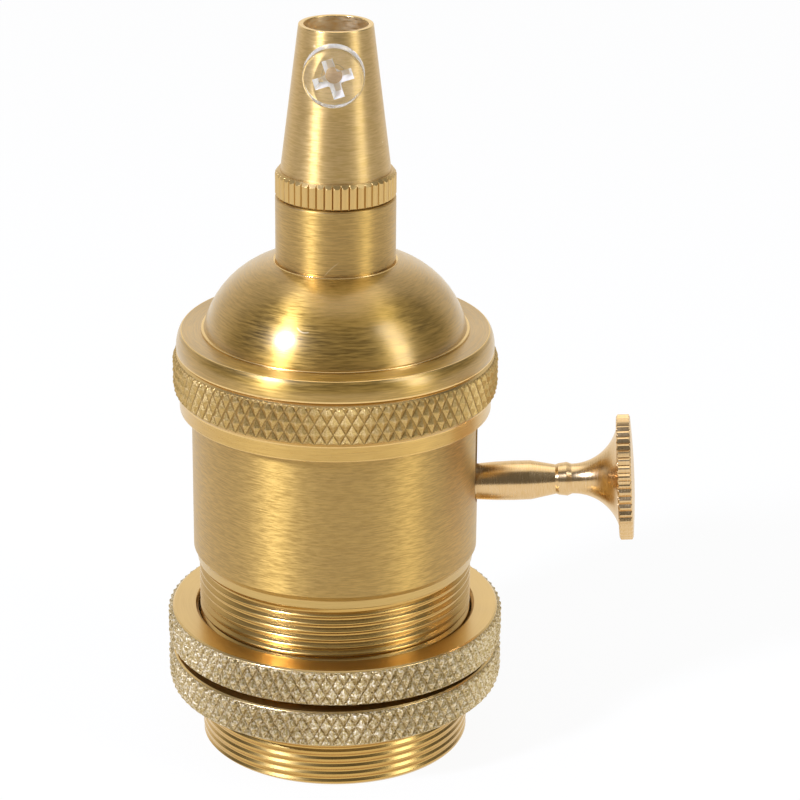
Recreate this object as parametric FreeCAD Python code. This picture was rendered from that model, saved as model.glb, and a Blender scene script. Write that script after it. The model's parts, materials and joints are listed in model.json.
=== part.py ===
import FreeCAD, Part
import math
import os

from FreeCAD import Placement, Rotation, Vector

# Keyed brass lamp holder for a screw-in bulb, standing on its open lower rim.
# Millimetres. Z points up from the rim, and the switch key points along +X.

# Clearances shared by mating pieces
seat_gap = 0.05          # between faces that are screwed down on each other
push_gap = 0.04          # radial, between pieces that are pushed or screwed together
turn_gap = 0.05          # radial, round the turning spindle
slide_gap = 0.3          # radial, between a shade ring and the thread it runs on
hole_gap = 0.15          # radial, round rivets and small screws
air_gap = 0.35           # between parts that must not rub

# Sleeve with its shade thread: its radii follow from the bulb's shell and the core round it
sleeve_step_z = 28.1
sleeve_height = 28.9     # above the step
thread_step = 0.75       # how far the thread's crests lie inside the sleeve's side
thread_wall = 1.45
thread_lead = 7.0        # free end of the thread, turned down a little so that a ring starts easily
thread_lead_step = 0.23
sleeve_wall = 1.4
ledge_drop = 2.1         # from the step down to the ledge that the insulating core sits on
shoulder_drop = 1.8      # from the step down to the shoulder above the thread
shoulder_step = 0.23     # how far that shoulder stands out from the thread's crests
shoulder_cone = 0.6      # from the foot of the cone up to the step
rim_chamfer = 0.3
step_chamfer = 0.25

# Diamond knurling: half the diamond's width is a step round, half its height a step up
knurl_depth = 0.6
knurl_lattice = 4        # steps up a knurled band

# Shade rings
ring_wall = 4.15         # from the bore to the knurl's crests
ring_bevel = 0.65        # how far the knurl falls away at a ring's edges
ring_height = 5.0
ring_columns = 90
ring_chamfer = 0.35
upper_ring_z = 14.1      # underside of the upper ring
ring_spacing = 0.6       # between the rings at their centre
lower_ring_tilt = 1.25   # degrees, the lower ring hangs askew on its thread
lower_ring_low_side = -120.0

# Cap: neck, dome, flange, knurled band and skirt in one turned piece
neck_r = 8.0
neck_height = 8.95
neck_chamfer = 0.25
neck_bead = 0.3          # ridge round the dome's top, with a groove between it and the neck
neck_bead_rise = 0.1
neck_groove = 0.3
neck_groove_depth = 0.16
neck_floor = 1.9         # from the neck's foot down to the ceiling inside
dome_setback = 3.35      # from the flange's edge in to the dome's foot
dome_step = 0.3          # from the flange's face up to the dome's foot
dome_rise = 9.3
dome_radius = 12.5
dome_wall = 1.4
dome_lip = 0.35          # bead round the dome's foot
flange_height = 2.8
flange_flare = 0.35      # how far the flange widens towards its underside
flange_round = 0.3
seam_width = 0.12
seam_depth = 0.4
knurl_stand = 0.9        # how far the knurl's crests stand out from the skirt
knurl_height = 5.16
knurl_foot = 0.4         # height of the plain cone below the knurl
knurl_bevel = 0.36       # plain bevel above it
cap_columns = 84
skirt_wall = 1.56
skirt_height = 2.16      # plain band below the knurl's foot
skirt_overlap = 8.7      # how far the cap reaches down over the sleeve
skirt_chamfer = 0.2

# Threaded nipple and its nut
nipple_r = 5.0
nipple_wall = 1.1
nipple_above_neck = 9.2
nut_across_flats = 14.0
nut_height = 3.0
nipple_below_nut = 0.8

# Cord grip
collar_height = 3.5
collar_teeth = 45
collar_tooth_depth = 0.32
collar_chamfer = 0.35
grip_shoulder = 0.7      # from the collar's edge in to the cone's foot
grip_passage = 13.35     # bore above the nipple's end
grip_bore_r = 4.0
mouth_step = 0.2
mouth_depth = 3.4
mouth_wall = 0.68
grip_lip = 0.18
nipple_head_room = 0.5

# Clear plastic clamping screw in the side of the grip
clamp_below_top = 5.1
clamp_direction = -87.3  # degrees round from +X
clamp_head_r = 3.98
clamp_head = 2.6
clamp_head_round = 0.3
clamp_shank_r = 1.5
clamp_shank = 5.0
clamp_tip_chamfer = 0.3
recess_span = 5.2
recess_arm = 1.3
recess_depth = 1.9
recess_turn = 18.0
recess_taper = 0.6       # share of the span left at the bottom

# Switch key: distances run out along its axis from the sleeve's surface
key_height = 9.52        # of the axis at the sleeve's surface, above the sleeve's step
key_rise = 4.0           # degrees, the key stands up a little in its slot
key_slot_gap = 0.35
key_root = 1.3           # length of stem inside the wall
key_root_r = 2.45
key_swell = 7.3
key_swell_r = 2.66
key_neck = 10.7
key_neck_r = 2.0
bead_start = 11.1
bead_peak = 12.2
bead_foot_r = 2.15
bead_r = 2.3
waist = 12.9
waist_r = 2.03
disc_back = 19.1
disc_back_r = 6.7
disc_thickness = 1.9
disc_r = 8.5
disc_crown = 0.35
disc_flutes = 48
disc_flute_depth = 0.22
disc_land = 0.28         # share of each flute's pitch that is left as a land
flute_sides = 4
disc_edge = 0.2

# Switch inside the core
spindle_r = 1.5
spindle_in_key = 8.0
spindle_end_gap = 0.9    # left at the blind end of the spindle's bearing
drum_r = 6.0
drum_length = 11.0
clip_r = 3.2
clip_thickness = 0.6
clip_groove = 0.35
clip_mouth = 1.7
washer_r = 4.2
washer_thickness = 0.3
washer_rise = 1.0
bridge_width = 3.0
bridge_sheet = 0.45
bridge_arc = 70.0

# Insulating core
core_bottom_z = 1.5
core_gap = 0.3
core_flange = 2.5
cup_wall = 2.9
housing_gap = 0.17       # between the housing and the liner
web_sheet = 4.0          # floor between the socket and the switch
floor_room = 2.26        # below the drum
head_room = 4.24         # above the drum
pocket_end_room = 3.0    # beyond each end of the drum
pocket_side_room = 1.8   # beside the drum
bearing_depth = 3.0
screw_hole_depth = 6.0

# Switch cover and its screws
cover_sheet = 1.2
cover_screw_inset = 5.8  # from the housing's side, along the switch
cover_screw_y = 8.0
cover_screw_r = 1.25
cover_screw_head_r = 2.4
cover_screw_head = 1.4
cover_slot_turn = 40.0

# Insulating liner
liner_sheet = 0.45
liner_slot_gap = 0.8

# Bulb's screw shell, rolled from sheet
shell_major_r = 13.3
shell_thread_depth = 1.1
shell_pitch = 3.62
shell_lead_in = 3.0
shell_sheet = 0.4
shell_bottom_z = 2.0
shell_flange_r = 7.2

# Contacts, terminals and rivets
leaf_sheet = 0.35
leaf_width = 3.0
leaf_reach = 5.2         # height of a contact finger beyond the drum's centre
leaf_kick = 1.0          # how far a finger's end bends away from the drum
tongue_sheet = 0.4
tongue_width = 5.0
tongue_reach = 5.4
tongue_drop = 5.0
rivet_r = 1.2
rivet_head_r = 1.9
rivet_head = 0.7
shell_rivet_r = 0.9
shell_rivet_head_r = 1.5
shell_rivet_x = 6.6
shell_rivet_y = 5.9
terminal_inset = 5.3     # from the housing's side
terminal_sheet = 1.2
terminal_length = 5.6
terminal_width = 5.0
terminal_screw_r = 1.6
terminal_head_r = 2.5
terminal_head = 1.7
terminal_slot_turn = 25.0
slot_share = 0.25        # width of a screw's slot as a share of its head radius

# Sizes worked out from the ones above
shell_minor_r = shell_major_r - shell_thread_depth
shell_room_r = shell_major_r + shell_sheet + core_gap
core_cup_r = shell_room_r + cup_wall
thread_bore_r = core_cup_r + core_gap
thread_r = thread_bore_r + thread_wall
sleeve_r = thread_r + thread_step
sleeve_bore_r = sleeve_r - sleeve_wall
sleeve_top_z = sleeve_step_z + sleeve_height
ledge_z = sleeve_step_z - ledge_drop
lead_r = thread_r - thread_lead_step
lead_top_z = rim_chamfer + thread_lead
ring_bore_r = thread_r + slide_gap
ring_crest_r = ring_bore_r + ring_wall
ring_edge_r = ring_crest_r - ring_bevel
lower_ring_z = upper_ring_z - ring_spacing - ring_height
cap_bore_r = sleeve_r + push_gap
cap_ledge_z = sleeve_top_z + 4 * seat_gap
skirt_r = cap_bore_r + skirt_wall
cap_knurl_crest_r = skirt_r + knurl_stand
dome_foot_r = skirt_r - dome_setback
skirt_bottom_z = sleeve_top_z - skirt_overlap
knurl_foot_z = skirt_bottom_z + skirt_height
cap_knurl_bottom_z = knurl_foot_z + knurl_foot
knurl_top_z = cap_knurl_bottom_z + knurl_height
cap_knurl_low_r = skirt_r + knurl_foot
cap_knurl_high_r = skirt_r + knurl_bevel
seam_z = knurl_top_z + knurl_bevel
flange_bottom_z = seam_z + seam_width
flange_z = flange_bottom_z + flange_height
dome_foot_z = flange_z + dome_step
neck_bottom_z = dome_foot_z + dome_rise
neck_top_z = neck_bottom_z + neck_height
ceiling_z = neck_bottom_z - neck_floor
nipple_bore_r = nipple_r - nipple_wall
collar_r = neck_r
collar_z = neck_top_z + seat_gap
nipple_top_z = neck_top_z + nipple_above_neck
grip_foot_r = collar_r - grip_shoulder
mouth_r = grip_bore_r + mouth_step
grip_top_r = mouth_r + mouth_wall
grip_step_z = nipple_top_z + nipple_head_room
grip_top_z = grip_step_z + grip_passage
clamp_z = grip_top_z - clamp_below_top
nut_z = ceiling_z - seat_gap - nut_height
nut_corner_r = nut_across_flats / math.sqrt(3)
liner_r = sleeve_bore_r - 2 * push_gap
housing_r = liner_r - liner_sheet - housing_gap
core_flange_z = ledge_z + seat_gap
key_z = sleeve_step_z + key_height
key_angle = math.radians(key_rise)
sleeve_along_key = sleeve_r / math.cos(key_angle)
switch_z = key_z - sleeve_r * math.tan(key_angle)
pocket_x = drum_length + 2 * pocket_end_room
pocket_y = 2 * (drum_r + pocket_side_room)
spindle_tail = pocket_x / 2 + bearing_depth - spindle_end_gap
cover_screw_x = housing_r - cover_screw_inset
terminal_y = housing_r - terminal_inset
terminal_x = -terminal_y
web_top_z = switch_z - drum_r - floor_room
web_bottom_z = web_top_z - web_sheet
housing_top_z = switch_z + drum_r + head_room
cover_z = housing_top_z
cover_top_z = cover_z + cover_sheet
switch_frame = Placement(Vector(0, 0, switch_z), Rotation(Vector(0, 1, 0), -key_rise))
leaf_inner_y = drum_r + turn_gap

z_axis = Vector(0, 0, 1)
x_axis = Vector(1, 0, 0)
origin = Vector(0, 0, 0)


def direction(degrees):
    """Unit vector in the horizontal plane, turned from +X."""
    angle = math.radians(degrees)
    return Vector(math.cos(angle), math.sin(angle), 0)


class Outline:
    """Half section drawn as radius and height, then turned about the Z axis."""

    def __init__(self, r, z):
        self.first = Vector(r, 0, z)
        self.last = self.first
        self.edges = []

    def line(self, r, z):
        end = Vector(r, 0, z)
        self.edges.append(Part.makeLine(self.last, end))
        self.last = end
        return self

    def arc(self, r, z, radius, side):
        """Arc of this radius to a point, bulging to the left (+1) or right (-1) of its chord."""
        end = Vector(r, 0, z)
        chord = end - self.last
        half = chord.Length / 2
        rise = radius - math.sqrt(radius * radius - half * half)
        out = Vector(-chord.z, 0, chord.x).normalize()
        middle = (self.last + end) * 0.5 + out * (side * rise)
        self.edges.append(Part.Arc(self.last, middle, end).toShape())
        self.last = end
        return self

    def wire(self):
        return Part.Wire(self.edges)

    def turned(self):
        self.line(self.first.x, self.first.z)
        return Part.Face(self.wire()).revolve(origin, z_axis, 360)


def along_x(shape):
    """Lay a piece that was turned about Z along the X axis."""
    return shape.transformed(Placement(origin, Rotation(Vector(0, 1, 0), 90)).toMatrix())


def on_switch_axis(shape):
    """Carry a piece from the switch's own frame, with its axis on X, to its place."""
    return shape.transformed(switch_frame.toMatrix())


def rod(r, low, high, x=0.0, y=0.0):
    return Part.makeCylinder(r, high - low, Vector(x, y, low))


def tube(outer_r, inner_r, low, high):
    return rod(outer_r, low, high).cut(rod(inner_r, low - 1, high + 1))


def block(x_low, x_high, y_low, y_high, z_low, z_high):
    return Part.makeBox(x_high - x_low, y_high - y_low, z_high - z_low, Vector(x_low, y_low, z_low))


def joined(pieces):
    return pieces[0].multiFuse(pieces[1:]).removeSplitter()


def diamond_knurl(columns, low, high, crest_r, low_r, high_r, inner):
    """Closed ring with a diamond-knurled outside and a turned inside.

    Points of a lattice round the ring stand in turn on a crest and in a groove, and
    each cell is split along its groove, so four facets meet at every crest.
    """
    steps = 2 * columns
    root_r = crest_r - knurl_depth

    def point(k, m):
        if m == 0:
            r = low_r
        elif m == knurl_lattice:
            r = high_r
        elif (k + m) % 2 == 0:
            r = crest_r
        else:
            r = root_r
        angle = 2 * math.pi * (k % steps) / steps
        return Vector(r * math.cos(angle), r * math.sin(angle), low + (high - low) * m / knurl_lattice)

    faces = []
    for m in range(knurl_lattice):
        for k in range(steps):
            a = point(k, m)
            b = point(k + 1, m)
            c = point(k + 1, m + 1)
            d = point(k, m + 1)
            if (k + m) % 2 == 0:
                corners = ((a, b, d), (b, c, d))
            else:
                corners = ((a, b, c), (a, c, d))
            faces += [Part.Face(Part.makePolygon([p, q, s, p])) for p, q, s in corners]
    for m, r, z in ((0, inner.first.x, low), (knurl_lattice, inner.last.x, high)):
        rim = Part.makePolygon([point(k, m) for k in range(steps)] + [point(0, m)])
        hole = Part.Wire(Part.makeCircle(r, Vector(0, 0, z)))
        faces.append(Part.makeFace([rim, hole], "Part::FaceMakerBullseye"))
    faces += inner.wire().revolve(origin, z_axis, 360).Faces
    shell = Part.makeShell(faces)
    shell.sewShape()
    solid = Part.Solid(shell)
    if solid.Volume < 0:
        solid.reverse()
    return solid


def straight_knurl(teeth, tip_r, depth, low, high):
    """Prism with V-shaped ribs along its side."""
    steps = 2 * teeth
    points = []
    for k in range(steps + 1):
        r = tip_r - depth * (k % 2)
        points.append(direction(180.0 * (k % steps) / teeth) * r + Vector(0, 0, low))
    return Part.Face(Part.makePolygon(points)).extrude(Vector(0, 0, high - low))


def fluted_prism(flutes, tip_r, depth, land, low, high):
    """Prism with hollow flutes along its side and narrow lands between them."""
    points = []
    for k in range(flutes):
        for i in range(flute_sides + 1):
            across = 2 * i / flute_sides - 1
            r = tip_r - depth * (1 - across * across)
            angle = 360.0 / flutes * (k + across * (1 - land) / 2)
            points.append(direction(angle) * r + Vector(0, 0, low))
    return Part.Face(Part.makePolygon(points + [points[0]])).extrude(Vector(0, 0, high - low))


def strip(points, sheet, width, across):
    """Bent sheet strip: its middle line is given as points, in the plane normal to across."""
    left = []
    right = []
    for i, here in enumerate(points):
        before = points[max(i - 1, 0)]
        after = points[min(i + 1, len(points) - 1)]
        into = (here - before) if i else (after - here)
        out = (after - here) if i < len(points) - 1 else into
        into = Vector(into).normalize()
        out = Vector(out).normalize()
        normal = across.cross(into + out).normalize()
        reach = sheet / 2 / normal.dot(across.cross(into))
        left.append(here + normal * reach)
        right.append(here - normal * reach)
    ring = left + right[::-1]
    face = Part.Face(Part.makePolygon(ring + [ring[0]]))
    face.translate(across * (-width / 2))
    return face.extrude(across * width)


def slotted_screw(x, y, seat, shank_r, length, head_r, head, turn):
    """Pan-headed screw with a slot, standing on its seat and pointing down."""
    screw = Outline(0, seat - length).line(shank_r, seat - length).line(shank_r, seat)
    screw.line(head_r, seat).line(head_r, seat + head / 2)
    screw.arc(0, seat + head, head_r * 2, -1)
    body = screw.turned()
    half = head_r * slot_share / 2
    slot = block(-head_r - 1, head_r + 1, -half, half, seat + head / 2, seat + head + 1)
    slot.rotate(origin, z_axis, turn)
    body = body.cut(slot)
    body.translate(Vector(x, y, 0))
    return body


def rivet(x, y, low, high, shank_r, head_r, head):
    """Rivet with a flat head below its grip and one above."""
    body = Outline(0, low - head).line(head_r, low - head).line(head_r, low).line(shank_r, low)
    body.line(shank_r, high).line(head_r, high).line(head_r, high + head).line(0, high + head)
    shape = body.turned()
    shape.translate(Vector(x, y, 0))
    return shape


def key_slot(width, low_r, high_r):
    """Open-topped slot through a wall, round-bottomed under the key's stem."""
    middle_z = switch_z + (low_r + high_r) / 2 * math.tan(key_angle)
    ground = Part.makeCylinder(width / 2, high_r - low_r, Vector(low_r, 0, middle_z), x_axis)
    return ground.fuse(block(low_r, high_r, -width / 2, width / 2, middle_z, sleeve_top_z + 1))


def make_sleeve():
    shoulder_z = sleeve_step_z - shoulder_drop
    shoulder_r = thread_r + shoulder_step
    outline = Outline(thread_bore_r, 0).line(lead_r - rim_chamfer, 0).line(lead_r, rim_chamfer)
    outline.line(lead_r, lead_top_z).line(thread_r, lead_top_z + thread_lead_step)
    outline.line(thread_r, shoulder_z).line(shoulder_r, shoulder_z + shoulder_step)
    outline.line(shoulder_r, sleeve_step_z - shoulder_cone)
    outline.line(sleeve_r, sleeve_step_z + step_chamfer)
    outline.line(sleeve_r, sleeve_top_z).line(sleeve_bore_r, sleeve_top_z)
    outline.line(sleeve_bore_r, ledge_z).line(thread_bore_r, ledge_z)
    width = 2 * (key_root_r + key_slot_gap)
    return outline.turned().cut(key_slot(width, sleeve_bore_r - 1, sleeve_r + 1))


def make_shade_ring(low):
    high = low + ring_height
    inner = Outline(ring_bore_r + ring_chamfer, low).line(ring_bore_r, low + ring_chamfer)
    inner.line(ring_bore_r, high - ring_chamfer).line(ring_bore_r + ring_chamfer, high)
    return diamond_knurl(ring_columns, low, high, ring_crest_r, ring_edge_r, ring_edge_r, inner)


def make_lower_ring():
    ring = make_shade_ring(lower_ring_z)
    centre = Vector(0, 0, lower_ring_z + ring_height / 2)
    ring.rotate(centre, z_axis.cross(direction(lower_ring_low_side)), lower_ring_tilt)
    return ring


def make_cap():
    lip_r = dome_foot_r + dome_lip
    outline = Outline(cap_bore_r, skirt_bottom_z).line(skirt_r - skirt_chamfer, skirt_bottom_z)
    outline.line(skirt_r, skirt_bottom_z + skirt_chamfer).line(skirt_r, knurl_foot_z)
    outline.line(cap_knurl_low_r - seat_gap, cap_knurl_bottom_z).line(skirt_r, cap_knurl_bottom_z)
    outline.line(skirt_r, knurl_top_z).line(cap_knurl_high_r - seat_gap, knurl_top_z)
    outline.line(skirt_r - seat_gap, seam_z).line(skirt_r - seam_depth, seam_z)
    outline.line(skirt_r - seam_depth, flange_bottom_z)
    outline.line(skirt_r + flange_flare, flange_bottom_z)
    outline.arc(skirt_r, flange_z - flange_round, 5 * flange_flare + flange_z - flange_bottom_z, -1)
    outline.arc(skirt_r - flange_round, flange_z, flange_round, -1)
    outline.line(lip_r, flange_z).line(lip_r, dome_foot_z - dome_lip / 2)
    outline.arc(dome_foot_r, dome_foot_z, dome_lip, -1)
    outline.arc(neck_r + neck_bead, neck_bottom_z, dome_radius, -1)
    outline.line(neck_r + neck_bead, neck_bottom_z + neck_bead_rise)
    outline.line(neck_r - neck_groove_depth, neck_bottom_z + neck_bead_rise)
    outline.line(neck_r - neck_groove_depth, neck_bottom_z + neck_groove)
    outline.line(neck_r, neck_bottom_z + neck_groove + neck_bead_rise)
    outline.line(neck_r, neck_top_z - neck_chamfer)
    outline.line(neck_r - neck_chamfer, neck_top_z).line(nipple_r + push_gap, neck_top_z)
    outline.line(nipple_r + push_gap, ceiling_z).line(nut_corner_r + air_gap, ceiling_z)
    outline.arc(dome_foot_r - dome_wall, dome_foot_z - dome_wall, dome_radius - dome_wall, 1)
    outline.line(dome_foot_r - dome_wall, cap_ledge_z).line(cap_bore_r, cap_ledge_z)
    inner_r = (cap_bore_r + skirt_r) / 2
    band = diamond_knurl(cap_columns, cap_knurl_bottom_z, knurl_top_z, cap_knurl_crest_r,
                         cap_knurl_low_r, cap_knurl_high_r,
                         Outline(inner_r, cap_knurl_bottom_z).line(inner_r, knurl_top_z))
    return outline.turned().fuse(band)


def make_nipple():
    return tube(nipple_r, nipple_bore_r, nut_z - nipple_below_nut, nipple_top_z)


def make_locknut():
    corners = [direction(60 * k) * nut_corner_r + Vector(0, 0, nut_z) for k in range(7)]
    prism = Part.Face(Part.makePolygon(corners)).extrude(Vector(0, 0, nut_height))
    return prism.cut(rod(nipple_r + push_gap, nut_z - 1, nut_z + nut_height + 1))


def grip_radius(z):
    """Outside radius of the grip's cone at a height."""
    top = collar_z + collar_height
    return grip_foot_r + (grip_top_r - grip_foot_r) * (z - top) / (grip_top_z - top)


def clamp_frame(distance):
    """Placement with Z pointing out of the grip along the clamping screw."""
    place = direction(clamp_direction) * distance + Vector(0, 0, clamp_z)
    return Placement(place, Rotation(z_axis, clamp_direction) * Rotation(Vector(0, 1, 0), 90))


def make_cord_grip():
    cone_z = collar_z + collar_height
    outline = Outline(nipple_r + push_gap, collar_z).line(collar_r - collar_tooth_depth * 1.5, collar_z)
    outline.line(collar_r - collar_tooth_depth * 1.5, cone_z - collar_chamfer)
    outline.line(grip_foot_r, cone_z).line(grip_top_r, grip_top_z - grip_lip)
    outline.line(grip_top_r - grip_lip, grip_top_z).line(mouth_r + grip_lip, grip_top_z)
    outline.line(mouth_r, grip_top_z - grip_lip).line(mouth_r, grip_top_z - mouth_depth)
    outline.line(grip_bore_r, grip_top_z - mouth_depth).line(grip_bore_r, grip_step_z)
    outline.line(nipple_r + push_gap, grip_step_z)
    inner_r = (nipple_r + collar_r) / 2
    ribs = straight_knurl(collar_teeth, collar_r, collar_tooth_depth, collar_z, cone_z)
    envelope = Outline(inner_r, collar_z).line(collar_r - collar_chamfer, collar_z)
    envelope.line(collar_r, collar_z + collar_chamfer).line(collar_r, cone_z - collar_chamfer)
    envelope.line(collar_r - collar_chamfer, cone_z).line(inner_r, cone_z)
    grip = outline.turned().fuse(ribs.common(envelope.turned()))
    hole = Part.makeCylinder(clamp_shank_r + push_gap, 2 * grip_foot_r)
    return grip.cut(hole.transformed(clamp_frame(0).toMatrix()))


def cross_recess(span, arm, depth):
    """Cross-shaped recess that narrows towards its bottom, seen from its open end."""
    def cross_arm(scale, z):
        half = span / 2 * scale
        side = arm / 2 * scale
        points = [Vector(-half, -side, z), Vector(half, -side, z), Vector(half, side, z),
                  Vector(-half, side, z)]
        return Part.makePolygon(points + [points[0]])

    bar = Part.makeLoft([cross_arm(1.0, 0), cross_arm(recess_taper, -depth)], True)
    other = bar.copy()
    other.rotate(origin, z_axis, 90)
    return bar.fuse(other)


def make_clamp_screw():
    outline = Outline(0, -clamp_shank).line(clamp_shank_r - clamp_tip_chamfer, -clamp_shank)
    outline.line(clamp_shank_r, clamp_tip_chamfer - clamp_shank).line(clamp_shank_r, 0)
    outline.line(clamp_head_r, 0).line(clamp_head_r, clamp_head - clamp_head_round)
    outline.arc(clamp_head_r - clamp_head_round, clamp_head, clamp_head_round, -1)
    outline.line(0, clamp_head)
    recess = cross_recess(recess_span, recess_arm, recess_depth)
    recess.rotate(origin, z_axis, recess_turn)
    recess.translate(Vector(0, 0, clamp_head))
    screw = outline.turned().cut(recess)
    seat = grip_radius(clamp_z - clamp_head_r) + seat_gap
    return screw.transformed(clamp_frame(seat).toMatrix())


def make_key():
    start = sleeve_along_key
    front = disc_back + disc_thickness
    outline = Outline(spindle_r + push_gap, start - key_root).line(key_root_r, start - key_root)
    outline.line(key_root_r, start)
    outline.arc(key_swell_r, start + key_swell, 8 * key_swell, -1)
    outline.line(key_neck_r, start + key_neck).line(bead_foot_r, start + bead_start)
    outline.line(bead_r, start + bead_peak).line(waist_r, start + waist)
    length = disc_back - waist
    flare = disc_back_r - waist_r
    outline.arc(disc_back_r, start + disc_back, (length * length + flare * flare) / (2 * flare), 1)
    outline.line(disc_r - disc_flute_depth * 1.5, start + disc_back)
    outline.line(disc_r - disc_flute_depth * 1.5, start + front)
    sagitta = disc_crown
    half = disc_r - disc_flute_depth * 1.5
    outline.arc(0, start + front + sagitta, (half * half + sagitta * sagitta) / (2 * sagitta), -1)
    outline.line(0, start + spindle_in_key).line(spindle_r + push_gap, start + spindle_in_key)
    inner_r = disc_back_r - disc_edge
    low = start + disc_back
    high = start + front
    rim = fluted_prism(disc_flutes, disc_r, disc_flute_depth, disc_land, low, high)
    envelope = Outline(inner_r, low).line(disc_r - disc_edge, low).line(disc_r, low + disc_edge)
    envelope.line(disc_r, high - disc_edge).line(disc_r - disc_edge, high).line(inner_r, high)
    return on_switch_axis(along_x(outline.turned().fuse(rim.common(envelope.turned()))))


def make_spindle():
    tail = -spindle_tail
    groove = -drum_length / 2 - seat_gap
    groove_r = spindle_r - clip_groove
    outline = Outline(0, tail).line(spindle_r, tail).line(spindle_r, groove - clip_thickness - seat_gap)
    outline.line(groove_r, groove - clip_thickness - seat_gap).line(groove_r, groove)
    outline.line(spindle_r, groove).line(spindle_r, sleeve_along_key + spindle_in_key - air_gap)
    outline.line(0, sleeve_along_key + spindle_in_key - air_gap)
    return on_switch_axis(along_x(outline.turned()))


def make_clip():
    groove_r = spindle_r - clip_groove + push_gap
    high = -drum_length / 2 - seat_gap - seat_gap / 2
    low = high - clip_thickness
    ring = tube(clip_r, groove_r, low, high)
    mouth = block(0, clip_r + 1, -clip_mouth / 2, clip_mouth / 2, low - 1, high + 1)
    return on_switch_axis(along_x(ring.cut(mouth)))


def make_washer():
    low = drum_length / 2 + seat_gap
    inner_r = spindle_r + push_gap
    outline = Outline(inner_r, low + washer_rise).line(washer_r, low)
    outline.line(washer_r, low + washer_thickness).line(inner_r, low + washer_rise + washer_thickness)
    return on_switch_axis(along_x(outline.turned()))


def bridge_shape(gap):
    """Sheet strip through the drum with a curved shoe at each end; gap grows it into its slot."""
    half = bridge_width / 2 + gap
    inner_r = drum_r - bridge_sheet - gap
    ring = tube(drum_r, inner_r, -half, half)
    wedge_r = drum_r + 1
    half_arc = bridge_arc / 2 + math.degrees(gap / drum_r)
    shoes = []
    for side in (0, 180):
        first = direction(side - half_arc) * wedge_r
        middle = direction(side) * wedge_r
        last = direction(side + half_arc) * wedge_r
        wedge = Part.Wire([Part.makeLine(origin, first), Part.Arc(first, middle, last).toShape(),
                           Part.makeLine(last, origin)])
        solid = Part.Face(wedge).extrude(Vector(0, 0, 2 * half))
        solid.translate(Vector(0, 0, -half))
        shoes.append(ring.common(solid))
    thickness = bridge_sheet / 2 + gap
    web_low = spindle_r + push_gap + bridge_sheet
    web = block(-inner_r, inner_r, web_low - gap, web_low + 2 * thickness - gap, -half, half)
    return along_x(joined([web] + shoes))


def make_drum():
    body = tube(drum_r, spindle_r + push_gap, -drum_length / 2, drum_length / 2)
    return on_switch_axis(along_x(body).cut(bridge_shape(push_gap)))


def make_bridge():
    return on_switch_axis(bridge_shape(0.0))


def make_core():
    flange_r = sleeve_bore_r - 2 * push_gap
    flange_top = core_flange_z + core_flange
    outline = Outline(shell_room_r, core_bottom_z).line(core_cup_r, core_bottom_z)
    outline.line(core_cup_r, core_flange_z).line(flange_r, core_flange_z).line(flange_r, flange_top)
    outline.line(housing_r, flange_top).line(housing_r, housing_top_z).line(0, housing_top_z)
    outline.line(0, web_bottom_z).line(shell_room_r, web_bottom_z)
    core = outline.turned()
    half_x = pocket_x / 2
    half_y = pocket_y / 2
    pocket = block(-half_x, half_x, -half_y, half_y, web_top_z, housing_top_z + 1)
    bearing = Part.makeCylinder(spindle_r + turn_gap, half_x + bearing_depth, origin, x_axis * -1)
    passage = Part.makeCylinder(spindle_r + turn_gap, 2 * housing_r, origin, x_axis)
    cuts = [pocket, on_switch_axis(bearing), on_switch_axis(passage)]
    cuts.append(rod(rivet_r + hole_gap, web_bottom_z - 1, web_top_z + 1))
    for side in (1, -1):
        cuts.append(rod(shell_rivet_r + hole_gap, web_bottom_z - 1, web_top_z + 1,
                        side * shell_rivet_x, side * shell_rivet_y))
        cuts.append(rod(cover_screw_r + push_gap, housing_top_z - screw_hole_depth, housing_top_z + 1,
                        cover_screw_x, side * cover_screw_y))
    for x, y in terminal_places():
        cuts.append(rod(terminal_screw_r + push_gap, housing_top_z - screw_hole_depth,
                        housing_top_z + 1, x, y))
    return core.cut(cuts)


def terminal_places():
    """Centres of the live and the neutral terminal."""
    return ((0.0, terminal_y), (terminal_x, -shell_rivet_y))


def make_cover():
    cover = rod(housing_r, cover_z + seat_gap, cover_top_z)
    live_y = pocket_y / 2 - 2 * air_gap - leaf_sheet
    notch = terminal_width / 2 + air_gap + leaf_sheet
    live = block(-notch, notch, live_y, housing_r + 1, cover_z - 1, cover_top_z + 1)
    neutral_x = -pocket_x / 2 + 2 * air_gap + leaf_sheet
    neutral = block(-housing_r - 1, neutral_x, -shell_rivet_y - notch, notch - shell_rivet_y,
                    cover_z - 1, cover_top_z + 1)
    holes = [rod(cover_screw_r + hole_gap, cover_z - 1, cover_top_z + 1,
                 cover_screw_x, side * cover_screw_y) for side in (1, -1)]
    return cover.cut([live, neutral] + holes)


def make_cover_screws():
    length = cover_sheet + seat_gap + screw_hole_depth - air_gap
    screws = [slotted_screw(cover_screw_x, side * cover_screw_y, cover_top_z + seat_gap, cover_screw_r,
                            length, cover_screw_head_r, cover_screw_head, cover_slot_turn * side)
              for side in (1, -1)]
    return Part.makeCompound(screws)


def make_liner():
    low = core_flange_z + core_flange + seat_gap
    high = cap_ledge_z - 2 * seat_gap
    wall = tube(liner_r, liner_r - liner_sheet, low, high)
    return wall.cut(key_slot(2 * (key_root_r + liner_slot_gap), housing_r - 1, sleeve_r))


def finger_points(foot, side):
    """Middle line of a contact finger that springs against one side of the drum."""
    y = leaf_inner_y + leaf_sheet / 2
    far = y + leaf_kick
    wall_y = pocket_y / 2 - air_gap - leaf_sheet / 2
    touch_z = switch_z
    tip = touch_z + side * -leaf_reach
    return [Vector(0, wall_y, foot), Vector(0, wall_y, touch_z + side * leaf_reach),
            Vector(0, y, touch_z + side * leaf_width / 2), Vector(0, y, touch_z - side * leaf_width / 2),
            Vector(0, far, tip)]


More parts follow.
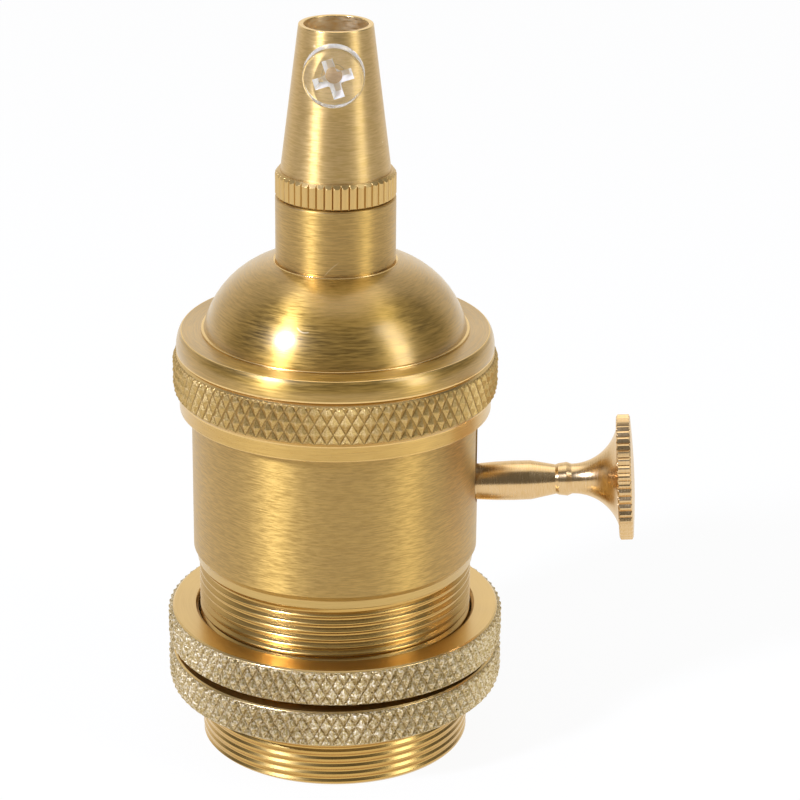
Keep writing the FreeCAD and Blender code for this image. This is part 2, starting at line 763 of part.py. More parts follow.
def make_live_finger():
    tab_z = housing_top_z + seat_gap + leaf_sheet / 2
    points = [Vector(0, terminal_y + terminal_length / 2, tab_z)] + finger_points(tab_z, 1)
    leaf = strip(points, leaf_sheet, leaf_width, x_axis)
    tab = block(-terminal_width / 2, terminal_width / 2, terminal_y - terminal_length / 2,
                terminal_y + terminal_length / 2, tab_z - leaf_sheet / 2, tab_z + leaf_sheet / 2)
    hole = rod(terminal_screw_r + hole_gap, tab_z - 1, tab_z + 1, 0, terminal_y)
    return joined([leaf, tab]).cut(hole)


def make_centre_finger():
    foot_z = web_top_z + seat_gap + leaf_sheet / 2
    rise = finger_points(foot_z, -1)
    points = [Vector(0, -rivet_head_r, foot_z)] + rise
    leaf = strip(points, leaf_sheet, leaf_width, x_axis)
    pad = rod(rivet_head_r, foot_z - leaf_sheet / 2, foot_z + leaf_sheet / 2)
    hole = rod(rivet_r + hole_gap, foot_z - 1, foot_z + 1)
    finger = joined([leaf, pad]).cut(hole)
    finger.rotate(origin, z_axis, 180)
    return finger


def make_centre_rivet():
    low = web_bottom_z - tongue_sheet - 2 * seat_gap
    high = web_top_z + leaf_sheet + 2 * seat_gap
    return rivet(0, 0, low, high, rivet_r, rivet_head_r, rivet_head)


def make_centre_contact():
    top = web_bottom_z - seat_gap - tongue_sheet / 2
    low = top - tongue_drop
    points = [Vector(0, -rivet_head_r, top), Vector(0, tongue_reach, top),
              Vector(0, tongue_reach + tongue_sheet, top - tongue_sheet),
              Vector(0, tongue_reach, top - 3 * tongue_sheet), Vector(0, 0, low),
              Vector(0, -tongue_reach / 2, low + tongue_sheet)]
    tongue = strip(points, tongue_sheet, tongue_width, x_axis)
    return tongue.cut(rod(rivet_r + hole_gap, top - tongue_sheet, top + tongue_sheet))


def make_screw_shell():
    """Rolled sheet: a lead-in, then rings that follow the bulb's thread, then a flange."""
    thread_z = shell_bottom_z + shell_lead_in
    flange_z = web_bottom_z - seat_gap
    turns = int((flange_z - shell_sheet - thread_z) / shell_pitch)
    inside = [(shell_major_r, shell_bottom_z), (shell_major_r, thread_z)]
    for turn in range(turns):
        inside.append((shell_minor_r, thread_z + (turn + 0.5) * shell_pitch))
        inside.append((shell_major_r, thread_z + (turn + 1) * shell_pitch))
    outline = Outline(*inside[0])
    for r, z in inside[1:]:
        outline.line(r, z)
    outline.line(shell_major_r, flange_z - shell_sheet).line(shell_flange_r, flange_z - shell_sheet)
    outline.line(shell_flange_r, flange_z).line(shell_major_r + shell_sheet, flange_z)
    for r, z in inside[::-1]:
        outline.line(r + shell_sheet, z)
    shell = outline.turned()
    holes = [rod(shell_rivet_r + hole_gap, flange_z - 1, flange_z + 1, side * shell_rivet_x,
                 side * shell_rivet_y) for side in (1, -1)]
    return shell.cut(holes)


def make_shell_rivets():
    low = web_bottom_z - shell_sheet - 2 * seat_gap
    plain = rivet(shell_rivet_x, shell_rivet_y, low, web_top_z + seat_gap, shell_rivet_r,
                  shell_rivet_head_r, rivet_head)
    wired = rivet(-shell_rivet_x, -shell_rivet_y, low, web_top_z + leaf_sheet + 2 * seat_gap,
                  shell_rivet_r, shell_rivet_head_r, rivet_head)
    return Part.makeCompound([plain, wired])


def make_neutral_strip():
    foot_z = web_top_z + seat_gap + leaf_sheet / 2
    tab_z = housing_top_z + seat_gap + leaf_sheet / 2
    wall_x = -pocket_x / 2 + seat_gap + leaf_sheet / 2
    y = -shell_rivet_y
    points = [Vector(-shell_rivet_x + shell_rivet_head_r, y, foot_z), Vector(wall_x, y, foot_z),
              Vector(wall_x, y, tab_z), Vector(terminal_x - terminal_width / 2, y, tab_z)]
    bent = strip(points, leaf_sheet, leaf_width, Vector(0, 1, 0))
    tab = block(terminal_x - terminal_width / 2, terminal_x + terminal_width / 2,
                y - terminal_length / 2, y + terminal_length / 2,
                tab_z - leaf_sheet / 2, tab_z + leaf_sheet / 2)
    holes = [rod(shell_rivet_r + hole_gap, foot_z - 1, foot_z + 1, -shell_rivet_x, y),
             rod(terminal_screw_r + hole_gap, tab_z - 1, tab_z + 1, terminal_x, y)]
    return joined([bent, tab]).cut(holes)


def terminal_plate(x, y, size_x, size_y):
    low = housing_top_z + leaf_sheet + 2 * seat_gap
    plate = block(x - size_x / 2, x + size_x / 2, y - size_y / 2, y + size_y / 2,
                  low, low + terminal_sheet)
    return plate.cut(rod(terminal_screw_r + push_gap, low - 1, low + terminal_sheet + 1, x, y))


def make_live_terminal():
    x, y = terminal_places()[0]
    return terminal_plate(x, y, terminal_width, terminal_length)


def make_neutral_terminal():
    x, y = terminal_places()[1]
    return terminal_plate(x, y, terminal_width, terminal_length)


def make_terminal_screws():
    seat = housing_top_z + leaf_sheet + terminal_sheet + 3 * seat_gap
    length = seat - housing_top_z + screw_hole_depth - air_gap
    screws = [slotted_screw(x, y, seat, terminal_screw_r, length, terminal_head_r, terminal_head,
                            terminal_slot_turn) for x, y in terminal_places()]
    return Part.makeCompound(screws)


pieces = {
    "cord_grip": make_cord_grip,
    "cord_grip_screw": make_clamp_screw,
    "threaded_nipple": make_nipple,
    "nipple_locknut": make_locknut,
    "cap": make_cap,
    "sleeve": make_sleeve,
    "shade_ring_upper": lambda: make_shade_ring(upper_ring_z),
    "shade_ring_lower": make_lower_ring,
    "switch_key": make_key,
    "switch_spindle": make_spindle,
    "spindle_clip": make_clip,
    "spring_washer": make_washer,
    "switch_drum": make_drum,
    "drum_contact": make_bridge,
    "core_body": make_core,
    "switch_cover": make_cover,
    "cover_screws": make_cover_screws,
    "insulating_liner": make_liner,
    "live_finger": make_live_finger,
    "centre_finger": make_centre_finger,
    "centre_rivet": make_centre_rivet,
    "centre_contact": make_centre_contact,
    "screw_shell": make_screw_shell,
    "shell_rivets": make_shell_rivets,
    "neutral_strip": make_neutral_strip,
    "live_terminal": make_live_terminal,
    "neutral_terminal": make_neutral_terminal,
    "terminal_screws": make_terminal_screws,
}

os.makedirs("parts", exist_ok=True)
for name, make in pieces.items():
    shape = make()
    print(name, len(shape.Solids), "solids, valid:", shape.isValid(), "volume", round(shape.Volume, 1))
    shape.exportStep("parts/" + name + ".step")
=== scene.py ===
import json

import bpy
import numpy as np
from mathutils import Matrix, Vector


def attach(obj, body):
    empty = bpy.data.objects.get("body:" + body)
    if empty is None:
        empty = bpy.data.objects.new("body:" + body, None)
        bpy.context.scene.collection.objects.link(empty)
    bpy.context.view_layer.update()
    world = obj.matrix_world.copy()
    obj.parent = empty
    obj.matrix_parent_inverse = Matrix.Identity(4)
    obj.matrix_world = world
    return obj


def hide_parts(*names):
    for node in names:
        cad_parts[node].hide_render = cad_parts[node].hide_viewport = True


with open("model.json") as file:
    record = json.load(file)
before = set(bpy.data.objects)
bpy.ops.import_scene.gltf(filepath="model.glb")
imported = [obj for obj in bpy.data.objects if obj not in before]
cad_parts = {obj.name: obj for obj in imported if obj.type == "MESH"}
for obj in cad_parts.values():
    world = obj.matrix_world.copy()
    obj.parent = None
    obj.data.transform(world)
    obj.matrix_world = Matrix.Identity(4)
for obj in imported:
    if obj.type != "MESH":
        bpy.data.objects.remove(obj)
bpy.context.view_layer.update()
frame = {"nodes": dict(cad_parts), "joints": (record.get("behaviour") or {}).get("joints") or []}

nodes = frame["nodes"]
joints = {joint["name"]: joint for joint in frame["joints"]}
mm = 0.001
tau = 2 * np.pi
print("frame loaded:", len(nodes), "nodes")


# Shader trees

def fill(tree, node, sockets):
    # links a node's sockets, or sets them
    for socket, value in sockets.items():
        if isinstance(value, bpy.types.NodeSocket):
            tree.links.new(value, node.inputs[socket])
        else:
            node.inputs[socket].default_value = value


def addNode(tree, kind, sockets=None, **settings):
    made = tree.nodes.new("ShaderNode" + kind)
    for key, value in settings.items():
        setattr(made, key, value)
    fill(tree, made, sockets or {})
    return made


def mathStep(tree, operation, *values):
    return addNode(tree, "Math", dict(enumerate(values)), operation=operation).outputs["Value"]


def vectorStep(tree, operation, *values, output="Vector"):
    return addNode(tree, "VectorMath", dict(enumerate(values)), operation=operation).outputs[output]


def newFinish(name):
    material = bpy.data.materials.new(name)
    material.use_nodes = True
    tree = material.node_tree
    return material, tree, tree.nodes["Principled BSDF"]


def objectPlace(tree, place=None):
    # object coordinates, turned so that the piece's own axis lies on Z when a place is given
    coords = addNode(tree, "TexCoord").outputs["Object"]
    if place is None:
        return coords
    turn = place.inverted()
    return addNode(tree, "Mapping", {"Vector": coords, "Location": turn.to_translation(),
                                     "Rotation": turn.to_euler()}).outputs["Vector"]


def blotches(tree, coords, scale, detail=3.0):
    return addNode(tree, "TexNoise", {"Vector": coords, "Scale": scale, "Detail": detail}).outputs["Fac"]


def rescaled(tree, value, low, high, start=0.3, end=0.7):
    # low at start and high at end; most of a noise lies between 0.3 and 0.7
    return addNode(tree, "MapRange", {"Value": value, "From Min": start, "From Max": end,
                                      "To Min": low, "To Max": high}).outputs["Result"]


def colourMix(tree, amount, first, second):
    # a Mix node's colours are its sockets 6 and 7, and their mix is its output 2
    ends = {socket: value if isinstance(value, bpy.types.NodeSocket) else (*value, 1.0)
            for socket, value in ((6, first), (7, second))}
    return addNode(tree, "Mix", {"Factor": amount, **ends}, data_type="RGBA").outputs[2]


def cloudedTone(tree, coords, look):
    cloud = blotches(tree, coords, look["cloudScale"])
    return colourMix(tree, rescaled(tree, cloud, 0.0, 1.0), look["colour"], look["secondColour"])


def bumped(tree, shader, height, distance):
    bump = addNode(tree, "Bump", {"Height": height, "Distance": distance, "Strength": 1.0})
    tree.links.new(bump.outputs["Normal"], shader.inputs["Normal"])


# what all turned finishes share: the noise, how much wider and longer the broad lines are, and the ranges
turning = {"detail": 2.0, "noiseRoughness": 0.6, "broadWidth": 6, "broadLength": 3, "broadShare": 1 / 3,
           "streakRange": (0.36, 0.64), "speckRange": (0.05, 0.12), "speckShare": 0.15, "scratchEnd": 0.05,
           "acrossLines": 0.25}


def ringNoise(tree, coords, across, breaks):
    # noise that follows the tool round the axis: quick with height and radius, slow with the angle
    split = addNode(tree, "SeparateXYZ", {"Vector": coords}).outputs
    flat = addNode(tree, "CombineXYZ", {"X": split["X"], "Y": split["Y"]}).outputs["Vector"]
    spread = vectorStep(tree, "MULTIPLY", vectorStep(tree, "NORMALIZE", flat), (breaks, breaks, breaks))
    height = mathStep(tree, "MULTIPLY", split["Z"], across)
    lift = addNode(tree, "CombineXYZ", {"Z": height}).outputs["Vector"]
    fourth = mathStep(tree, "MULTIPLY", vectorStep(tree, "LENGTH", flat, output="Value"), across)
    place = vectorStep(tree, "ADD", spread, lift)
    return addNode(tree, "TexNoise", {"Vector": place, "W": fourth, "Scale": 1.0, "Detail": turning["detail"],
                                      "Roughness": turning["noiseRoughness"]},
                   noise_dimensions="4D").outputs["Fac"]


def speckled(tree, coords, look, tone):
    # small pale dents: near the centres of scattered cells, in a few of the cells only
    cells = addNode(tree, "TexVoronoi", {"Vector": coords, "Scale": look["speckScale"]}).outputs
    close = rescaled(tree, cells["Distance"], look["specks"], 0.0, *turning["speckRange"])
    chosen = addNode(tree, "SeparateColor", {"Color": cells["Color"]}).outputs["Red"]
    few = mathStep(tree, "GREATER_THAN", chosen, 1 - turning["speckShare"])
    return colourMix(tree, mathStep(tree, "MULTIPLY", close, few), tone, look["speckColour"])


def scratched(tree, coords, look, mark, tone):
    # a short curved scratch: points at one distance from a centre, on the side it faces
    away = vectorStep(tree, "SUBTRACT", coords, Vector(mark["centre"]) * mm)
    distance = vectorStep(tree, "LENGTH", away, output="Value")
    beside = mathStep(tree, "ABSOLUTE", mathStep(tree, "SUBTRACT", distance, mark["radius"] * mm))
    line = rescaled(tree, beside, mark["strength"], 0.0, 0.0, mark["width"] * mm)
    along = vectorStep(tree, "DOT_PRODUCT", away, Vector(mark["towards"]).normalized(), output="Value")
    end = turning["scratchEnd"]
    kept = rescaled(tree, along, 0.0, 1.0, (mark["reach"] - end) * mm, (mark["reach"] + end) * mm)
    return colourMix(tree, mathStep(tree, "MULTIPLY", line, kept), tone, look["speckColour"])


def turnedBrass(name, look, place=None):
    # brass with the fine circular lines of a lathe tool or a brushing wheel
    material, tree, shader = newFinish(name)
    coords = objectPlace(tree, place)
    lines = ringNoise(tree, coords, look["linesPerMetre"], look["breaksRound"])
    broad = ringNoise(tree, coords, look["linesPerMetre"] / turning["broadWidth"],
                      look["breaksRound"] / turning["broadLength"])
    streaks = rescaled(tree, lines, 0.0, look["streak"], *turning["streakRange"])
    tone = colourMix(tree, streaks, cloudedTone(tree, coords, look), look["streakColour"])
    if look["specks"]:
        tone = speckled(tree, coords, look, tone)
    for mark in look["scratches"]:
        tone = scratched(tree, coords, look, mark, tone)
    spread = look["roughSpread"]
    uneven = mathStep(tree, "ADD", rescaled(tree, lines, -spread, spread),
                      rescaled(tree, broad, -spread * turning["broadShare"], spread * turning["broadShare"]))
    fill(tree, shader, {"Base Color": tone, "Roughness": mathStep(tree, "ADD", uneven, look["roughness"]),
                        "Metallic": 1.0, "Coat Weight": look["lacquer"],
                        "Coat Roughness": look["lacquerRoughness"], "Coat IOR": look["lacquerIor"]})
    if look["stretch"]:
        # the light spreads across the lines
        tangent = addNode(tree, "Tangent", direction_type="UV_MAP", uv_map="turned").outputs["Tangent"]
        fill(tree, shader, {"Anisotropic": look["stretch"], "Anisotropic Rotation": turning["acrossLines"],
                            "Tangent": tangent})
    bumped(tree, shader, mathStep(tree, "ADD", lines, broad), look["lineDepth"] * mm)
    return material


satinLook = {"colour": (0.46, 0.285, 0.057), "secondColour": (0.44, 0.27, 0.053),
             "streakColour": (0.70, 0.46, 0.12), "streak": 0.95, "cloudScale": 60.0, "linesPerMetre": 6200.0,
             "breaksRound": 13.0, "roughness": 0.47, "roughSpread": 0.09, "stretch": 0.84, "lineDepth": 0.03,
             "lacquer": 1.0, "lacquerRoughness": 0.5, "lacquerIor": 1.6, "specks": 0.0, "speckScale": 450.0,
             "speckColour": (0.95, 0.80, 0.50), "scratches": []}
domeScratch = {"centre": (-2.52, -14.7, 64.87), "radius": 1.2, "towards": (-0.39, -0.55, -0.74),
               "reach": 0.88, "width": 0.13, "strength": 0.75}
neckScratch = {"centre": (4.3, -8.0, 65.9), "radius": 6.0, "towards": (-0.72, 0.0, 0.70),
               "reach": 5.87, "width": 0.10, "strength": 0.5}
domeLook = dict(satinLook, colour=(0.45, 0.28, 0.056), secondColour=(0.43, 0.265, 0.052),
                streakColour=(0.65, 0.42, 0.107), linesPerMetre=5000.0, breaksRound=7.0, roughness=0.42,
                roughSpread=0.12, stretch=0.82, lineDepth=0.012, lacquerRoughness=0.23,
                scratches=[domeScratch])
neckLook = dict(satinLook, linesPerMetre=5500.0, breaksRound=4.5, scratches=[neckScratch])
gripLook = dict(satinLook, colour=(0.62, 0.41, 0.12), secondColour=(0.59, 0.38, 0.10),
                streakColour=(0.78, 0.55, 0.22), linesPerMetre=5500.0, breaksRound=4.0, lacquerRoughness=0.45,
                specks=0.8)
# the grip's mouth: smoother and unlacquered, its pale colour a painted reflection of the light from above
boreSheenLook = dict(satinLook, colour=(0.93, 0.71, 0.38), secondColour=(0.88, 0.66, 0.34),
                streakColour=(0.98, 0.84, 0.58), linesPerMetre=5000.0, breaksRound=4.0, roughness=0.40,
                stretch=0.0, lacquer=0.0)
skirtLook = dict(satinLook, colour=(0.60, 0.38, 0.09), secondColour=(0.57, 0.35, 0.08), breaksRound=6.0,
                 roughness=0.34, stretch=0.6, lacquerRoughness=0.3)
threadLook = dict(satinLook, colour=(0.60, 0.38, 0.10), secondColour=(0.56, 0.35, 0.09),
                  streakColour=(0.74, 0.50, 0.17), streak=0.3, breaksRound=4.0, roughness=0.25,
                  roughSpread=0.03, stretch=0.0, lineDepth=0.001, lacquerRoughness=0.25, lacquerIor=1.4)
faceLook = dict(threadLook, colour=(0.74, 0.49, 0.125), secondColour=(0.60, 0.385, 0.10),
                streakColour=(0.80, 0.56, 0.20), roughness=0.33, stretch=0.4, lacquerIor=1.6)
stepLook = dict(faceLook, colour=(0.58, 0.39, 0.11), secondColour=(0.55, 0.37, 0.10), roughness=0.42)
# the edge finish: polished and unlacquered, its pale colour partly a painted highlight along the small
# roundings and edges
edgeHighlightLook = dict(threadLook, colour=(0.86, 0.64, 0.31), secondColour=(0.82, 0.60, 0.28), roughness=0.24,
                lacquer=0.0)
ribLook = dict(threadLook, colour=(0.68, 0.49, 0.22), secondColour=(0.64, 0.45, 0.19), linesPerMetre=3000.0,
               breaksRound=20.0, roughness=0.34, lineDepth=0.010, lacquer=0.0)
turnedLooks = {"satin": satinLook, "dome": domeLook, "neck": neckLook, "grip": gripLook, "bore": boreSheenLook,
               "skirt": skirtLook, "thread": threadLook, "face": faceLook, "step": stepLook,
               "edge": edgeHighlightLook, "rib": ribLook}
brass = {name: turnedBrass(name + "Brass", look) for name, look in turnedLooks.items()}

# what both knurled finishes share: how fine the grain is, and where each effect starts and ends
pressing = {"grainDetail": 4.0, "glintRange": (0.45, 0.7), "wearAndSheenRange": (0.05, 0.3), "pitShadeRange": (0.30, 0.42),
            "shadeRange": (0.84, 0.98)}


def knurledBrass(name, look):
    # brass pressed by a knurling wheel, with painted shade in its grooves and in small pits, painted glints
    # scattered by the grain, and a pale colour on its points that is partly rubbed wear and partly painted
    # highlight
    material, tree, shader = newFinish(name)
    coords = objectPlace(tree)
    # the piece's own map counts half diamonds round and up, as knurledBand does: 1 in a groove, 0 at a point
    turnedMap = addNode(tree, "UVMap", uv_map="turned").outputs["UV"]
    place = addNode(tree, "SeparateXYZ", {"Vector": turnedMap}).outputs
    waves = [mathStep(tree, "PINGPONG", mathStep(tree, way, place["X"], place["Y"]), 1.0)
             for way in ("ADD", "SUBTRACT")]
    pressed = mathStep(tree, "MAXIMUM", *waves)
    grain = blotches(tree, coords, look["grainScale"], pressing["grainDetail"])
    # in order: painted glints from the grain, the points' pale colour (partly wear, partly painted highlight),
    # painted shade specks where the grain is low, and painted shade in the grooves
    effects = [(rescaled(tree, grain, 0.0, look["glint"], *pressing["glintRange"]), look["wearAndGlintColour"]),
               (rescaled(tree, pressed, look["wearAndSheen"], 0.0, *pressing["wearAndSheenRange"]), look["wearAndGlintColour"]),
               (rescaled(tree, grain, look["pitShade"], 0.0, *pressing["pitShadeRange"]), look["grooveShadeColour"]),
               (rescaled(tree, pressed, 0.0, look["shade"], *pressing["shadeRange"]), look["grooveShadeColour"])]
    tone = cloudedTone(tree, coords, look)
    for amount, colour in effects:
        tone = colourMix(tree, amount, tone, colour)
    rough, spread = look["roughness"], look["roughSpread"]
    fill(tree, shader, {"Base Color": tone, "Metallic": 1.0,
                        "Roughness": rescaled(tree, grain, rough - spread, rough + spread)})
    bumped(tree, shader, grain, look["grainDepth"] * mm)
    return material


knurledLooks = {
    "capKnurl": {"colour": (0.56, 0.39, 0.14), "secondColour": (0.50, 0.34, 0.115),
                 "wearAndGlintColour": (0.78, 0.60, 0.33), "grooveShadeColour": (0.16, 0.09, 0.03), "glint": 0.6,
                 "wearAndSheen": 0.5, "pitShade": 0.3, "shade": 0.6, "cloudScale": 400.0, "grainScale": 5200.0,
                 "grainDepth": 0.04, "roughness": 0.40, "roughSpread": 0.07},
    "ringKnurl": {"colour": (0.55, 0.42, 0.19), "secondColour": (0.44, 0.325, 0.135),
                  "wearAndGlintColour": (0.97, 0.89, 0.73), "grooveShadeColour": (0.14, 0.09, 0.04), "glint": 0.9,
                  "wearAndSheen": 0.6, "pitShade": 0.6, "shade": 0.35, "cloudScale": 900.0, "grainScale": 3600.0,
                  "grainDepth": 0.12, "roughness": 0.36, "roughSpread": 0.10},
}
knurled = {name: knurledBrass(name, look) for name, look in knurledLooks.items()}


def plainFinish(name, look, roughSpread=0.04):
    # a stamped, plated or moulded surface with slight clouding and grain
    material, tree, shader = newFinish(name)
    coords = objectPlace(tree)
    grain = blotches(tree, coords, look["grainScale"])
    rough = rescaled(tree, grain, look["roughness"] - roughSpread, look["roughness"] + roughSpread)
    fill(tree, shader, {"Base Color": cloudedTone(tree, coords, look), "Roughness": rough,
                        "Metallic": look["metallic"]})
    bumped(tree, shader, grain, look["grainDepth"] * mm)
    return material


bronzeLook = {"colour": (0.62, 0.38, 0.19), "secondColour": (0.54, 0.32, 0.15), "metallic": 1.0,
              "roughness": 0.26, "cloudScale": 250.0, "grainScale": 1800.0, "grainDepth": 0.004}
innerLooks = {
    "platedSteel": dict(bronzeLook, colour=(0.60, 0.60, 0.58), secondColour=(0.52, 0.53, 0.53),
                        roughness=0.28, cloudScale=200.0, grainScale=2000.0),
    "springBronze": bronzeLook,
    "contactBrass": dict(bronzeLook, colour=(0.68, 0.50, 0.22), secondColour=(0.60, 0.42, 0.18),
                         roughness=0.25),
    "platedShell": dict(bronzeLook, colour=(0.68, 0.66, 0.60), secondColour=(0.60, 0.57, 0.50),
                        roughness=0.22, cloudScale=150.0, grainScale=1500.0, grainDepth=0.003),
    "mouldedInsulator": {"colour": (0.78, 0.76, 0.70), "secondColour": (0.72, 0.69, 0.62), "metallic": 0.0,
                         "roughness": 0.5, "cloudScale": 120.0, "grainScale": 2500.0, "grainDepth": 0.02},
    "fibreBoard": {"colour": (0.20, 0.13, 0.08), "secondColour": (0.14, 0.09, 0.06), "metallic": 0.0,
                   "roughness": 0.65, "cloudScale": 700.0, "grainScale": 3500.0, "grainDepth": 0.03},
}
innerFinish = {name: plainFinish(name, look) for name, look in innerLooks.items()}
nodeFinishes = {
    "platedSteel": ("threaded_nipple", "nipple_locknut", "switch_spindle", "spindle_clip", "cover_screws",
                    "terminal_screws"),
    "springBronze": ("spring_washer", "live_finger", "centre_finger", "centre_contact"),
    "contactBrass": ("drum_contact", "centre_rivet", "shell_rivets", "neutral_strip", "live_terminal",
                     "neutral_terminal"),
    "mouldedInsulator": ("core_body", "switch_drum"),
    "fibreBoard": ("switch_cover", "insulating_liner"),
}
for finishName, members in nodeFinishes.items():
    for member in members:
        for slot in nodes[member].material_slots:
            slot.material = innerFinish[finishName]
print("inner pieces finished")


# Surfaces: all in millimetres until a piece is made

# columns round a turned surface, degrees and fewest steps of an arc, the widest rounding that counts as an
# edge, the grid on which points merge, and the radius that the map of a stitched strip counts in
fineness = {"columns": 192, "arcStep": 6.0, "arcSteps": 3, "edge": 0.3, "mergePerMm": 20000, "mapRadius": 50}


def unit(vector):
    return vector / np.maximum(np.linalg.norm(vector, axis=-1, keepdims=True), 1e-12)


def around(r, t, z):
    # points at radius r, angle t and height z: x = r cos t, y = r sin t
    return np.stack([r * np.cos(t), r * np.sin(t), z + 0 * t], -1)


def facing(points, corners):
    # the normal of each triangle, once for each of its corners
    a, b, c = (points[corners[:, i]] for i in range(3))
    return np.repeat(unit(np.cross(b - a, c - a))[:, None, :], 3, axis=1)


def patch(points, normals=None, otherWay=None):
    # a grid of points as triangles; otherWay marks the cells that are split along their other diagonal
    rows, columns = points.shape[:2]
    index = np.arange(rows * columns).reshape(rows, columns)
    a, b, c, d = index[:-1, :-1], index[:-1, 1:], index[1:, 1:], index[1:, :-1]
    corners = np.stack([a, b, c, a, c, d], -1)
    if otherWay is not None:
        corners = np.where(otherWay[..., None], np.stack([a, b, d, b, c, d], -1), corners)
    corners = corners.reshape(-1, 3)
    flat = points.reshape(-1, 3)
    given = facing(flat, corners) if normals is None else normals.reshape(-1, 3)[corners]
    u, v = np.meshgrid(np.linspace(0, 1, columns), np.linspace(0, 1, rows))
    uv = np.stack([u, v], -1).reshape(-1, 2)[corners]
    return {"points": flat, "corners": corners, "normals": given, "uv": uv}


def stripPatch(points):
    # patch of a grid with one spare column at each end: sharp between its rows, smooth round
    faces = unit(np.cross(points[1:, 1:] - points[:-1, :-1], points[1:, :-1] - points[:-1, 1:]))
    edges = unit(faces[:, :-1] + faces[:, 1:])
    left, right = edges[:, :-1], edges[:, 1:]
    strips = patch(points[:, 1:-1])
    strips["normals"] = np.stack([left, right, right, left, right, left], 2).reshape(-1, 3, 3)
    return strips


def bow(start, end, radius, side):
    # arc from start to end, bulging left (1) or right (-1) of its chord, with its outward normals
    chord = end - start
    half = np.arcsin(min(1.0, np.hypot(*chord) / (2 * radius)))
    steps = max(fineness["arcSteps"], int(np.ceil(np.degrees(2 * half) / fineness["arcStep"])))
    heading = np.arctan2(chord[1], chord[0]) + side * half * np.linspace(1, -1, steps + 1)
    out = np.stack([-np.sin(heading), np.cos(heading)], 1) * side * radius
    return start - out[0] + out, np.stack([np.sin(heading), -np.cos(heading)], 1)


def straight(start, end):
    along = unit(end - start)
    return np.stack([start, end]), np.tile([along[1], -along[0]], (2, 1))


def section(*corners):
    # a half section as (radius, height): (r, z) is a sharp corner, (r, z, rounding) a rounded one, and
    # (r, z, radius, side) is reached by an arc; the solid lies to the left of the way
    runs = []
    here = np.array(corners[0][:2], float)
    for i, corner in enumerate(corners[1:], 1):
        there = np.array(corner[:2], float)
        if len(corner) == 4:
            runs.append(bow(here, there, corner[2], corner[3]))
            here = there
        elif len(corner) == 3:
            back = unit(here - there)
            ahead = unit(np.array(corners[i + 1][:2], float) - there)
            turn = np.pi - np.arccos(np.clip(np.dot(back, ahead), -1, 1))
            cut = corner[2] * np.tan(turn / 2)
            side = 1 if ahead[0] * back[1] - ahead[1] * back[0] < 0 else -1
            runs.append(straight(here, there + back * cut))
            runs.append(bow(there + back * cut, there + ahead * cut, corner[2], side))
            here = there + ahead * cut
        else:
            runs.append(straight(here, there))
            here = there
    return runs


def parted(runs):
    # the walls of a half section, and its small roundings, which are polished and get a pale edge colour that
    # is partly painted highlight
    small = [np.ptp(points, axis=0).max() < fineness["edge"] for points, normals in runs]
    return [run for run, edge in zip(runs, small) if not edge], [run for run, edge in zip(runs, small) if edge]


def turned(runs, columns=fineness["columns"], angles=None):
    # a half section carried round Z
    t = np.linspace(0, tau, columns + 1) if angles is None else angles
    return [patch(around(points[:, :1], t, points[:, 1:]), around(normals[:, :1], t, normals[:, 1:]))
            for points, normals in runs]


def stitched(fine, coarse, upwards):
    # strip between a circle of many points and one of few, each given by radius, height and columns:
    # each fine edge goes to its nearest coarse point
    many, few = fine[2], coarse[2]
    ratio = many // few
    j = np.arange(many)
    near = (j + ratio // 2) // ratio
    after = (j + 1 + ratio // 2) // ratio
    points = np.concatenate([around(r, tau * np.arange(count) / count, z) for r, z, count in (fine, coarse)])
    one = np.stack([j, (j + 1) % many, many + near % few], 1)
    two = np.stack([(j + 1) % many, many + after % few, many + near % few], 1)[after != near]
    corners = np.concatenate([one, two])
    if not upwards:
        corners = corners[:, ::-1]
    uv = np.stack([np.arctan2(points[:, 1], points[:, 0]) / tau,
                   np.hypot(points[:, 0], points[:, 1]) / fineness["mapRadius"]], -1)[corners]
    return {"points": points, "corners": corners, "normals": facing(points, corners), "uv": uv}


def makePiece(name, body, node, dressed, place=None):
    # joins patches, merges the points that meet, drops what has no area, and writes the mesh
    patches = [(number, each) for number, (material, group) in enumerate(dressed) for each in group]
    starts = np.cumsum([0] + [len(each["points"]) for number, each in patches])
    points, normals, uvs = (np.concatenate([each[key] for number, each in patches])
                            for key in ("points", "normals", "uv"))
    corners = np.concatenate([each["corners"] + start for (number, each), start in zip(patches, starts)])
    finishes = np.concatenate([np.full(len(each["corners"]), number) for number, each in patches])
    first, where = np.unique(np.round(points * fineness["mergePerMm"]).astype(np.int64), axis=0,
                             return_index=True, return_inverse=True)[1:]
    points, corners = points[first] * mm, where.reshape(-1)[corners]
    whole = (corners != np.roll(corners, 1, axis=1)).all(axis=1)
    corners, normals, uvs, finishes = corners[whole], normals[whole], uvs[whole], finishes[whole]
    if place is not None:
        turn = np.array(place.to_3x3())
        points = points @ turn.T + np.array(place.to_translation())
        normals = normals @ turn.T
    mesh = bpy.data.meshes.new(name)
    mesh.vertices.add(len(points))
    mesh.vertices.foreach_set("co", points.ravel())
    mesh.loops.add(corners.size)
    mesh.loops.foreach_set("vertex_index", corners.ravel().astype(np.int32))
    mesh.polygons.add(len(corners))
    mesh.polygons.foreach_set("loop_start", np.arange(0, corners.size, 3, dtype=np.int32))
    mesh.polygons.foreach_set("material_index", finishes.astype(np.int32))
    mesh.polygons.foreach_set("use_smooth", np.ones(len(corners), bool))
    mesh.update(calc_edges=True)
    mesh.uv_layers.new(name="turned").data.foreach_set("uv", uvs.ravel())
    mesh.normals_split_custom_set(normals.reshape(-1, 3))
    for material, group in dressed:
        mesh.materials.append(material)
    piece = bpy.data.objects.new(name, mesh)
    bpy.context.scene.collection.objects.link(piece)
    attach(piece, body)
    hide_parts(node)
    print("made", name, len(corners), "triangles")


